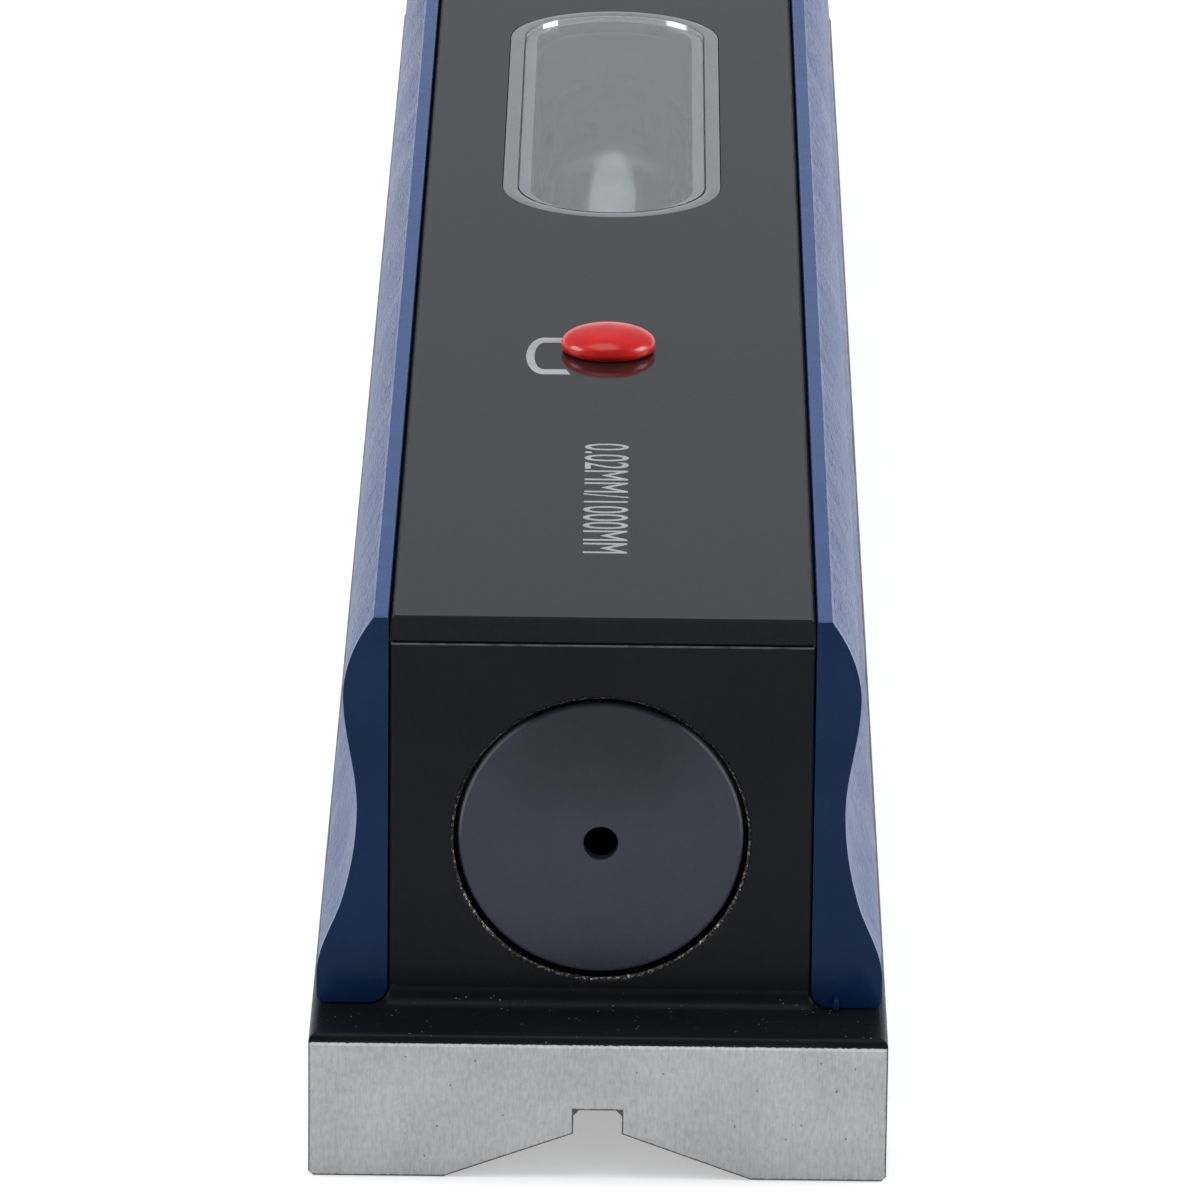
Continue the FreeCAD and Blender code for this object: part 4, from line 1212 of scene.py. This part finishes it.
@dataclass
class Window:
    """The bezel, the pane and the grey mask over the main vial."""

    length: float = 67.92
    width: float = 18.82
    ring: float = 1.3
    base: float = foot_of("window_bezel")
    top: float = PLATE_TOP
    proud: float = 0.03
    edge: float = 0.16
    pane_play: float = 0.05
    pane_edge: float = 0.08
    pane_lift: float = 0.01
    mask_lift: float = 0.005
    mask_thickness: float = 0.06
    sight_width: float = 14.0
    turns: int = 40
    straights: int = 12

    def carry(self, section: Sequence[tuple[float, float]]) -> bmesh.types.BMesh:
        """Carry a section round the window.

        Args:
            section: Points as distance in from the bezel's outside, and height.

        Returns:
            The ring.
        """
        mesh = bmesh.new()
        radius = self.width / 2
        centre = self.length / 2 - radius
        points = [
            ((radius - inwards) * MM, -centre * MM, height * MM) for inwards, height in section
        ]
        run = MeshShop.loop(mesh, points, closed=True)
        for sign in (1, -1):
            step = (0.0, sign * 2 * centre * MM / self.straights, 0.0)
            run = MeshShop.draw_out(mesh, run, step, self.straights)
            middle = (0.0, sign * centre * MM, 0.0)
            run = MeshShop.spin(mesh, run, middle, (0, 0, 1), 180.0, self.turns)
        return mesh

    def build_bezel(self) -> Object:
        """Build the bezel's ring with its two rounded edges.

        Returns:
            The bezel's piece.
        """
        top = self.top + self.proud
        edge, small = self.edge, self.edge * 0.3
        section = [
            (0.0, self.base), (0.0, top - edge), (small, top - small), (edge, top),
            (self.ring - edge, top), (self.ring - small, top - small),
            (self.ring, top - edge), (self.ring, self.base),
        ]
        return MeshShop.publish(
            "window_bezel_ring", self.carry(section), Body.LEVEL, "bezel", BEZEL_ENAMEL,
            ["window_bezel"],
        )

    def build_mask(self) -> Object:
        """Lay the grey mask between the ledge and the pane.

        Returns:
            The mask's piece.
        """
        outside = self.ring + self.pane_play
        inside = (self.width - self.sight_width) / 2
        low, high = self.base + self.mask_lift, self.base + self.mask_thickness
        section = [(outside, low), (outside, high), (inside, high), (inside, low)]
        return MeshShop.publish(
            "window_mask_frame", self.carry(section), Body.LEVEL, "bezel", MASK_CARD
        )

    def build_pane(self) -> Object:
        """Cut the pane as a round-ended sheet with softened edges.

        Returns:
            The pane's piece.
        """
        mesh = bmesh.new()
        radius = self.width / 2 - self.ring - self.pane_play
        centre = self.length / 2 - self.width / 2
        height = (self.base + self.mask_thickness + self.pane_lift) * MM
        run: list = [mesh.verts.new((radius * MM, -centre * MM, height))]
        for sign in (1, -1):
            run = MeshShop.draw_out(mesh, run, (0.0, sign * 2 * centre * MM, 0.0), 1)
            middle = (0.0, sign * centre * MM, 0.0)
            run = MeshShop.spin(mesh, run, middle, (0, 0, 1), 180.0, self.turns)
        bmesh.ops.remove_doubles(mesh, verts=mesh.verts, dist=1e-7)
        bmesh.ops.contextual_create(mesh, geom=mesh.edges[:])
        rise = self.top * MM - height
        MeshShop.thicken(mesh, rise)
        rims = [
            edge for edge in mesh.edges
            if all(corner.co.z > height + rise / 2 for corner in edge.verts)
        ]
        MeshShop.bevel(mesh, rims, self.pane_edge)
        return MeshShop.publish(
            "window_pane_sheet", mesh, Body.LEVEL, "pane", WINDOW_GLASS, ["window_pane"],
            smooth=0.0,
        )


@dataclass
class EndPlug:
    """One plug that closes the bore, with its extraction hole and sealing ring."""

    end: End
    radius: float = 10.85
    face: float = 142.8
    length: float = 9.0
    rounding: float = 0.3
    back_chamfer: float = 0.2
    hole: float = 1.325
    hole_lip: float = 0.06
    hole_depth: float = 5.0
    hole_height: float = 24.45
    bore_height: float = BORE_HEIGHT
    groove_from: float = 1.2
    groove_to: float = 2.7
    groove_depth: float = 1.1
    turns: int = 128

    def build(self) -> Object:
        """Build the plug from its hole outwards.

        Returns:
            The plug's piece.
        """
        mesh = bmesh.new()
        sign = self.end.value
        facing = Euler((math.radians(90), 0, 0)).to_matrix().to_4x4()

        def ring(radius: float, depth: float, height: float) -> list:
            """Lay a ring of edges at a depth behind the face."""
            spot = Vector((0, sign * (self.face - depth), height)) * MM
            made = bmesh.ops.create_circle(
                mesh, cap_ends=False, segments=self.turns, radius=radius * MM,
                matrix=Matrix.Translation(spot) @ facing,
            )["verts"]
            return list(dict.fromkeys(edge for corner in made for edge in corner.link_edges))

        lathe = [
            (self.radius - self.rounding, 0.0), (self.radius - self.rounding * 0.62, 0.025),
            (self.radius - self.rounding * 0.29, 0.09), (self.radius - self.rounding * 0.08, 0.19),
            (self.radius, self.rounding), (self.radius, self.groove_from),
            (self.radius - self.groove_depth, self.groove_from),
            (self.radius - self.groove_depth, self.groove_to), (self.radius, self.groove_to),
            (self.radius, self.length - self.back_chamfer),
            (self.radius - self.back_chamfer, self.length),
        ]
        bottom = ring(self.hole * 0.999, self.hole_depth, self.hole_height)
        wall = ring(self.hole, self.hole_lip, self.hole_height)
        lip = ring(self.hole + self.hole_lip, 0.0, self.hole_height)
        rings = [bottom, wall, lip] + [
            ring(radius, depth, self.bore_height) for radius, depth in lathe
        ]
        for first, second in zip(rings, rings[1:]):
            bmesh.ops.bridge_loops(mesh, edges=first + second)
        bmesh.ops.contextual_create(mesh, geom=bottom)
        bmesh.ops.contextual_create(mesh, geom=rings[-1])
        name = f"{self.end.name.lower()}_end_plug"
        return MeshShop.publish(
            f"{name}_turned", mesh, Body.LEVEL, "plug", PLUG_PLASTIC, [name], smooth=30.0
        )

    def dress(self) -> None:
        """Give the sealing ring its rubber."""
        dress({f"{self.end.name.lower()}_plug_seal": BLACK_RUBBER})


@dataclass
class SideGrip:
    """One moulded side grip, waisted for the fingers, with a grained outer face."""

    side: Side
    inner: float = 16.2
    top: float = 42.5
    base: float = 11.5
    corner: float = 0.6
    relief: float = 1.4
    foot_flat: float = 1.3
    inner_step: float = 7.0
    half_length: float = 143.2
    rounding: float = 0.42
    stations: tuple[tuple[float, float], ...] = (
        (1.15, 42.5), (3.45, 36.2), (2.38, 27.3), (3.45, 20.0), (5.43, 13.8),
    )
    headings: tuple[tuple[float, float], ...] = (
        (0.6, -0.8), (0.0, -1.0), (0.0, -1.0), (0.27, -0.963), (0.0, -1.0),
    )
    pitch: float = 0.62
    wrinkle: float = 0.11
    grain_seed: int = 5
    end_face_depth: float = 0.02
    peg_sunk: float = 0.3
    peg_radius: float = 2.0
    peg_reach: float = 3.0
    peg_height: float = 31.0
    peg_places: tuple[float, ...] = (-112.0, 0.0, 112.0)

    def outline(self) -> list[tuple[float, float]]:
        """The grip's section, from its upper inner corner round the outside.

        Returns:
            Points as reach from the block's side and height.
        """
        points: list[tuple[float, float]] = [
            (0.0, self.top - 0.2), (0.06, self.top - 0.06), (0.2, self.top), (0.7, self.top)
        ]
        pairs = list(zip(self.stations, self.headings))
        for (start, leave), (end, arrive) in zip(pairs, pairs[1:]):
            first, last = Vector((*start, 0.0)), Vector((*end, 0.0))
            handle = (last - first).length / 3
            steps = max(4, round((last - first).length / self.pitch))
            run = interpolate_bezier(
                first, first + Vector((*leave, 0.0)) * handle,
                last - Vector((*arrive, 0.0)) * handle, last, steps + 1,
            )
            points += [(spot.x, spot.y) for spot in run[:-1]]
        foot = self.stations[-1][0]
        for share in range(4):
            height = self.stations[-1][1]
            points.append((foot, height + (self.base + self.corner - height) * share / 3))
        for share in range(1, 6):
            turn = math.radians(90.0 * share / 5)
            points.append((
                foot - self.corner + self.corner * math.cos(turn),
                self.base + self.corner - self.corner * math.sin(turn),
            ))
        points.append((self.relief + self.foot_flat, self.base))
        for share in range(7):
            turn = math.radians(90.0 * share / 6)
            points.append((
                self.relief - self.relief * math.sin(turn),
                self.base + self.relief - self.relief * math.cos(turn),
            ))
        points += [
            (0.0, self.base + self.relief + self.inner_step * share) for share in (1, 2, 3)
        ]
        return points

    def grained(self, reach: float, along: float, height: float) -> float:
        """How strong the leather grain is at a place on the grip.

        Args:
            reach: Distance from the block's side.
            along: Place along the grip.
            height: Height over the sole's face.

        Returns:
            0 where the grip is smooth and 1 on its grained face.
        """
        outside = min(max((reach - 0.95) / 0.6, 0.0), 1.0)
        ends = min(max((self.half_length - 0.5 - abs(along)) / 1.2, 0.0), 1.0)
        foot = min(max((height - self.base - 1.2) / 0.8, 0.0), 1.0)
        return outside * ends * foot

    def build(self) -> Object:
        """Draw the section out, round its ends, grain it and set its pegs.

        Returns:
            The grip's piece.
        """
        mesh = bmesh.new()
        sign = self.side.value
        near = -self.half_length
        points = [
            ((self.inner + reach) * MM, near * MM, height * MM)
            for reach, height in self.outline()
        ]
        run = MeshShop.loop(mesh, points, closed=True)
        start_edges = MeshShop.edges_of(run)
        steps = round(2 * self.half_length / self.pitch)
        step = (0.0, 2 * self.half_length * MM / steps, 0.0)
        last = MeshShop.draw_out(mesh, run, step, steps)
        for edges in (start_edges, MeshShop.edges_of(last)):
            bmesh.ops.contextual_create(mesh, geom=edges)
        bmesh.ops.remove_doubles(mesh, verts=mesh.verts, dist=1e-7)
        bmesh.ops.recalc_face_normals(mesh, faces=mesh.faces)
        self.round_ends(mesh)
        self.wrinkle_outside(mesh)
        if self.side is Side.LEFT:
            bmesh.ops.scale(mesh, vec=(-1, 1, 1), verts=mesh.verts)
        self.set_pegs(mesh, sign)
        if self.side is Side.RIGHT:
            self.leave_tab(mesh)
        node = f"{self.side.name.lower()}_grip"
        # The end faces take the darker copy of the blue, which paints their shade.
        limit = (self.half_length - self.end_face_depth) * MM
        return MeshShop.publish(
            f"{node}_moulding", mesh, Body.LEVEL, "grip", GRIP_SIDES, [node], smooth=50.0,
            second=GRIP_ENDS_SHADED, picks=lambda face: abs(face.center.y) > limit,
        )

    def round_ends(self, mesh: bmesh.types.BMesh) -> None:
        """Round the edges of both end faces on the outer side.

        Args:
            mesh: The drawn-out grip.
        """
        limit = (self.half_length - 0.001) * MM
        rims = [
            edge for edge in mesh.edges
            if all(abs(v.co.y) > limit for v in edge.verts)
            and all(v.co.x > (self.inner + 0.2) * MM for v in edge.verts)
            and all(v.co.z > (self.base + 0.05) * MM for v in edge.verts)
            and any(len(face.verts) <= 4 for face in edge.link_faces)
        ]
        MeshShop.bevel(mesh, rims, self.rounding, segments=4, clamp=True)

    def wrinkle_outside(self, mesh: bmesh.types.BMesh) -> None:
        """Press the leather grain into the outer face.

        Args:
            mesh: The drawn-out grip, right-handed.
        """
        mesh.normal_update()
        noise.seed_set(self.grain_seed)
        shift = 31.0 if self.side is Side.LEFT else 0.0
        moves = []
        for corner in mesh.verts:
            reach, along, height = corner.co / MM
            reach -= self.inner
            strength = self.grained(reach, along, height)
            if strength <= 0.0:
                continue
            place = Vector((along * 0.3 + shift, height * 0.34, reach * 0.34))
            warp = noise.noise_vector(place * 1.3) * 0.45
            gaps = noise.voronoi(place + warp, distance_metric="DISTANCE", exponent=2.5)[0]
            crease = min((gaps[1] - gaps[0]) / 0.3, 1.0)
            swell = noise.noise(place * 0.7)
            depth = (crease - 1.0) * 0.6 + swell * 0.5
            moves.append((corner, corner.normal * (self.wrinkle * strength * depth * MM)))
        for corner, move in moves:
            corner.co += move

    def set_pegs(self, mesh: bmesh.types.BMesh, sign: int) -> None:
        """Add the pegs that hold the grip in the block.

        Args:
            mesh: The grip on its own side.
            sign: The side as a sign of X.
        """
        length = self.peg_reach + self.peg_sunk + 0.1
        reach = self.inner + self.peg_sunk - length / 2
        for place in self.peg_places:
            middle = Vector((sign * reach, place, self.peg_height)) * MM
            turned = Euler((0, math.radians(90), 0)).to_matrix().to_4x4()
            bmesh.ops.create_cone(
                mesh, cap_ends=True, segments=40, radius1=self.peg_radius * MM,
                radius2=self.peg_radius * MM, depth=length * MM,
                matrix=Matrix.Translation(middle) @ turned,
            )

    def leave_tab(self, mesh: bmesh.types.BMesh) -> None:
        """Add the trimmed moulding tab under the near end.

        Args:
            mesh: The right-hand grip.
        """
        middle = Vector((self.inner + 1.9, -self.half_length - 0.1, self.base + 0.45)) * MM
        size = Matrix.Diagonal((0.4 * MM, 1.3 * MM, 0.9 * MM, 1.0))
        made = bmesh.ops.create_cube(mesh, size=1.0, matrix=Matrix.Translation(middle) @ size)
        edges = list(dict.fromkeys(edge for corner in made["verts"] for edge in corner.link_edges))
        MeshShop.bevel(mesh, edges, 0.1)


@dataclass
class ZeroAdjuster:
    """The capped zero adjuster: bushing, screw, ball, pad, spring and red cap."""

    place: float = centre_of("adjuster_cap").y
    plate_top: float = PLATE_TOP
    head: float = 3.875
    stem: float = 2.5
    stem_foot: float = foot_of("adjuster_cap")
    hollow: float = 1.6
    hollow_roof: float = 41.75
    dome_top: float = top_of("adjuster_cap")
    dome_steps: int = 16
    dome_spread: float = 0.9
    dome_rise: float = 0.85
    clear: float = 0.02
    rim: float = 0.45
    rim_steps: int = 7
    tuck: float = 0.35
    stem_chamfer: float = 0.3
    turns: int = 96

    def build(self) -> Object:
        """Turn the cap about its axis.

        Returns:
            The cap's piece.
        """
        seat = self.plate_top + self.clear
        profile = [(0.0, self.dome_top)]
        rise = self.dome_top - seat - self.rim
        for share in range(1, self.dome_steps + 1):
            turn = math.radians(90.0 * share / self.dome_steps)
            reach = self.head * math.sin(turn) ** self.dome_spread
            profile.append((reach, seat + self.rim + rise * math.cos(turn) ** self.dome_rise))
        for share in range(1, self.rim_steps + 1):
            turn = math.radians(90.0 * share / self.rim_steps)
            reach = self.head - self.tuck * (1.0 - math.cos(turn))
            profile.append((reach, seat + self.rim * (1.0 - math.sin(turn))))
        profile += [
            (self.stem, seat), (self.stem, self.stem_foot + self.stem_chamfer),
            (self.stem - self.stem_chamfer, self.stem_foot), (self.hollow, self.stem_foot),
            (self.hollow, self.hollow_roof), (0.0, self.hollow_roof),
        ]
        mesh = bmesh.new()
        points = [(reach * MM, self.place * MM, height * MM) for reach, height in profile]
        run = MeshShop.loop(mesh, points, closed=False)
        MeshShop.spin(mesh, run, (0.0, self.place * MM, 0.0), (0, 0, 1), 360.0, self.turns)
        return MeshShop.publish(
            "adjuster_cap_dome", mesh, Body.CAP, "cap", CapPlastic(), ["adjuster_cap"]
        )

    def dress(self) -> None:
        """Give the adjuster's metal pieces their finishes."""
        dress({
            "adjuster_bushing": BRASS,
            "zero_screw": BLACK_STEEL,
            "thrust_ball": BALL_STEEL,
            "thrust_pad": BALL_STEEL,
            "lift_spring": SPRING_WIRE,
        })


@dataclass
class VialCarrier:
    """The carrier tube with its end blocks, the vial, its scale and the spirit."""

    axis_height: float = centre_of("main_vial").z
    vial_radius: float = 6.5
    bubble_half: float = 14.0
    mark_pitch: float = 2.0
    mark_count: int = 6
    mark_width: float = 0.16
    mark_ink: float = 0.015
    mark_span: float = 130.0
    mark_steps: int = 36

    def dress(self) -> None:
        """Give the carrier, its screws and its glass their finishes."""
        dress({
            "vial_carrier": CARRIER_ALLOY,
            "near_carrier_block": CARRIER_ALLOY,
            "far_carrier_block": CARRIER_ALLOY,
            "near_vial_saddle": SADDLE_BRASS,
            "far_vial_saddle": SADDLE_BRASS,
            "pivot_screws": BLACK_STEEL,
            "guide_screws": BLACK_STEEL,
            "main_vial": VIAL_GLASS,
            "near_vial_stopper": GROUND_GLASS,
            "far_vial_stopper": GROUND_GLASS,
            "spirit_fill": SPIRIT_TINT,
            "bubble": BUBBLE_GAS,
        })

    def rule(self) -> Object:
        """Draw the vial's scale as thin inked lines over its upper side.

        Returns:
            The scale's piece.
        """
        mesh = bmesh.new()
        places = [
            sign * (self.bubble_half + self.mark_pitch * number)
            for sign in (-1, 1)
            for number in range(self.mark_count)
        ]
        for number, place in enumerate(places):
            first = number % self.mark_count == 0
            width = self.mark_width * (1.5 if first else 1.0)
            span = self.mark_span * (1.15 if first else 1.0)
            self.rule_line(mesh, place, width, span)
        return MeshShop.publish("vial_scale", mesh, Body.CARRIER, "vial_glass", SCALE_INK)

    def rule_line(
        self, mesh: bmesh.types.BMesh, place: float, width: float, span: float
    ) -> None:
        """Add one line of the scale.

        Args:
            mesh: The bmesh of the scale.
            place: Place of the line along the vial.
            width: Width of the line.
            span: Degrees that the line reaches round the vial.
        """
        start = math.radians(90.0 - span / 2)
        low, high = self.vial_radius + 0.002, self.vial_radius + self.mark_ink
        section = [(low, -0.5), (high, -0.5), (high, 0.5), (low, 0.5)]
        points = [
            (
                math.cos(start) * reach * MM,
                (place + share * width) * MM,
                (self.axis_height + math.sin(start) * reach) * MM,
            )
            for reach, share in section
        ]
        run = MeshShop.loop(mesh, points, closed=True)
        first_edges = MeshShop.edges_of(run)
        centre = (0.0, 0.0, self.axis_height * MM)
        last = MeshShop.spin(mesh, run, centre, (0, -1, 0), span, self.mark_steps)
        for edges in (first_edges, MeshShop.edges_of(last)):
            bmesh.ops.contextual_create(mesh, geom=edges)


# ------------------------------------------------------------------ studio


@dataclass
class Studio:
    """Camera, floor, surrounding light and soft lamps."""

    camera_place: Point = (2.144, -893.27, 290.502)
    lens: float = 313.887
    sensor: float = 36.0
    pitch: float = 18.186
    yaw: float = -0.183
    roll: float = -0.605
    floor_size: float = 24.0
    floor_drop: float = 0.06
    ambient: float = 0.5
    ceiling: float = 0.4
    cool: Colour = (0.94, 0.98, 1.04)
    behind_camera: float = 0.35
    paper: Colour = (0.86, 0.86, 0.86)
    shine_through: float = 0.34

    def set_camera(self) -> None:
        """Place the camera and make it the scene's."""
        pitch, yaw, roll = (math.radians(v) for v in (self.pitch, self.yaw, self.roll))
        ahead = Vector((
            math.sin(yaw) * math.cos(pitch), math.cos(yaw) * math.cos(pitch), -math.sin(pitch)
        ))
        level = Vector((math.cos(yaw), -math.sin(yaw), 0.0))
        down = ahead.cross(level)
        if down.z > 0:
            down.negate()
        right = level * math.cos(roll) + down * math.sin(roll)
        lower = down * math.cos(roll) - level * math.sin(roll)
        lens = bpy.data.cameras.new("camera")
        lens.lens = self.lens
        lens.sensor_width = self.sensor
        lens.clip_start = 0.01
        lens.clip_end = 100.0
        camera = bpy.data.objects.new("camera", lens)
        turn = Matrix((right, -lower, -ahead)).transposed().to_4x4()
        camera.matrix_world = Matrix.Translation(Vector(self.camera_place) * MM) @ turn
        bpy.context.scene.collection.objects.link(camera)
        bpy.context.scene.camera = camera

    def lay_floor(self) -> None:
        """Lay the pale floor under the sole."""
        mesh = bmesh.new()
        spot = Matrix.Translation((0, 0, -self.floor_drop * MM))
        bmesh.ops.create_grid(
            mesh, x_segments=1, y_segments=1, size=self.floor_size / 2, matrix=spot
        )
        data = bpy.data.meshes.new("floor")
        mesh.to_mesh(data)
        mesh.free()
        floor = bpy.data.objects.new("floor", data)
        bpy.context.scene.collection.objects.link(floor)
        bench = SurfaceBench("floor_white_paper")
        shade = bench.ease(bench.grain(0.01, 2.0), 0.3, 0.7)
        path = bench.add("ShaderNodeLightPath")
        seen = path.outputs["Is Camera Ray"]
        for kind in ("Is Glossy Ray", "Is Transmission Ray"):
            seen = bench.calc("MAXIMUM", seen, path.outputs[kind])
        floor.data.materials.append(
            bench.finish(
                Base_Color=bench.blend(shade, self.paper, (0.87, 0.87, 0.87)),
                Roughness=0.9,
                Specular_IOR_Level=0.0,
                Emission_Color=WHITE,
                Emission_Strength=bench.times(seen, self.shine_through),
            )
        )

    def light_world(self) -> None:
        """Surround the level with soft white, dimmer overhead in what metal and paint show."""
        world = bpy.data.worlds.new("studio")
        bpy.context.scene.world = world
        world.use_nodes = True
        bench = NodeBench(world.node_tree)
        path = bench.add("ShaderNodeLightPath").outputs
        heading = bench.split(bench.add("ShaderNodeTexCoord").outputs["Generated"])
        overhead = bench.ease(heading[2], 0.06, 0.24, 1.0, self.ceiling)
        ahead = bench.ease(heading[1], -0.15, -0.6, 1.0, self.behind_camera)
        strength = bench.mix(path["Is Glossy Ray"], self.ambient, bench.times(overhead, ahead))
        for kind in ("Is Camera Ray", "Is Transmission Ray"):
            strength = bench.mix(path[kind], strength, 1.0)
        glow = bench.add("ShaderNodeBackground")
        tint = bench.blend(bench.ease(heading[2], 0.06, 0.24), WHITE, self.cool)
        bench.wire(tint, glow.inputs[0])
        bench.wire(strength, glow.inputs[1])
        bench.wire(glow.outputs[0], bench.add("ShaderNodeOutputWorld").inputs[0])

    def hang_lamp(self, name: str, place: Point, size: float, power: float) -> None:
        """Hang one soft lamp that faces the level.

        Args:
            name: Name of the lamp.
            place: Its place in metres.
            size: Side of its square, in metres.
            power: Its power in watts.
        """
        data = bpy.data.lights.new(name, "AREA")
        data.shape = "SQUARE"
        data.size = size
        data.energy = power
        lamp = bpy.data.objects.new(name, data)
        aim = Vector((0.0, 0.0, 0.02)) - Vector(place)
        lamp.matrix_world = (
            Matrix.Translation(place) @ aim.to_track_quat("-Z", "Y").to_matrix().to_4x4()
        )
        bpy.context.scene.collection.objects.link(lamp)

    def build(self) -> None:
        """Set up the whole studio."""
        self.set_camera()
        self.lay_floor()
        self.light_world()
        self.hang_lamp("left_lamp", (-2.0, 0.0, 0.95), 1.1, 22.0)
        self.hang_lamp("right_lamp", (2.0, 0.1, 0.9), 1.1, 28.0)
        self.hang_lamp("top_lamp", (-0.3, -0.2, 2.2), 1.6, 14.0)
        bpy.context.scene.view_settings.view_transform = "Standard"
        LOG.info("studio ready")


# ------------------------------------------------------------------ main


def main() -> None:
    """Build and dress the level, piece by piece."""
    logging.basicConfig(level=logging.INFO, format="%(name)s: %(message)s")
    Studio().build()
    Casting().dress()
    plate = CoverPlate()
    plate.dress()
    plate.build()
    plate.print_legend()
    plate.print_arc()
    window = Window()
    window.build_bezel()
    window.build_mask()
    window.build_pane()
    for end in End:
        plug = EndPlug(end)
        plug.dress()
        plug.build()
    for side in Side:
        SideGrip(side).build()
    adjuster = ZeroAdjuster()
    adjuster.dress()
    adjuster.build()
    carrier = VialCarrier()
    carrier.dress()
    carrier.rule()


if __name__ == "__main__":
    main()
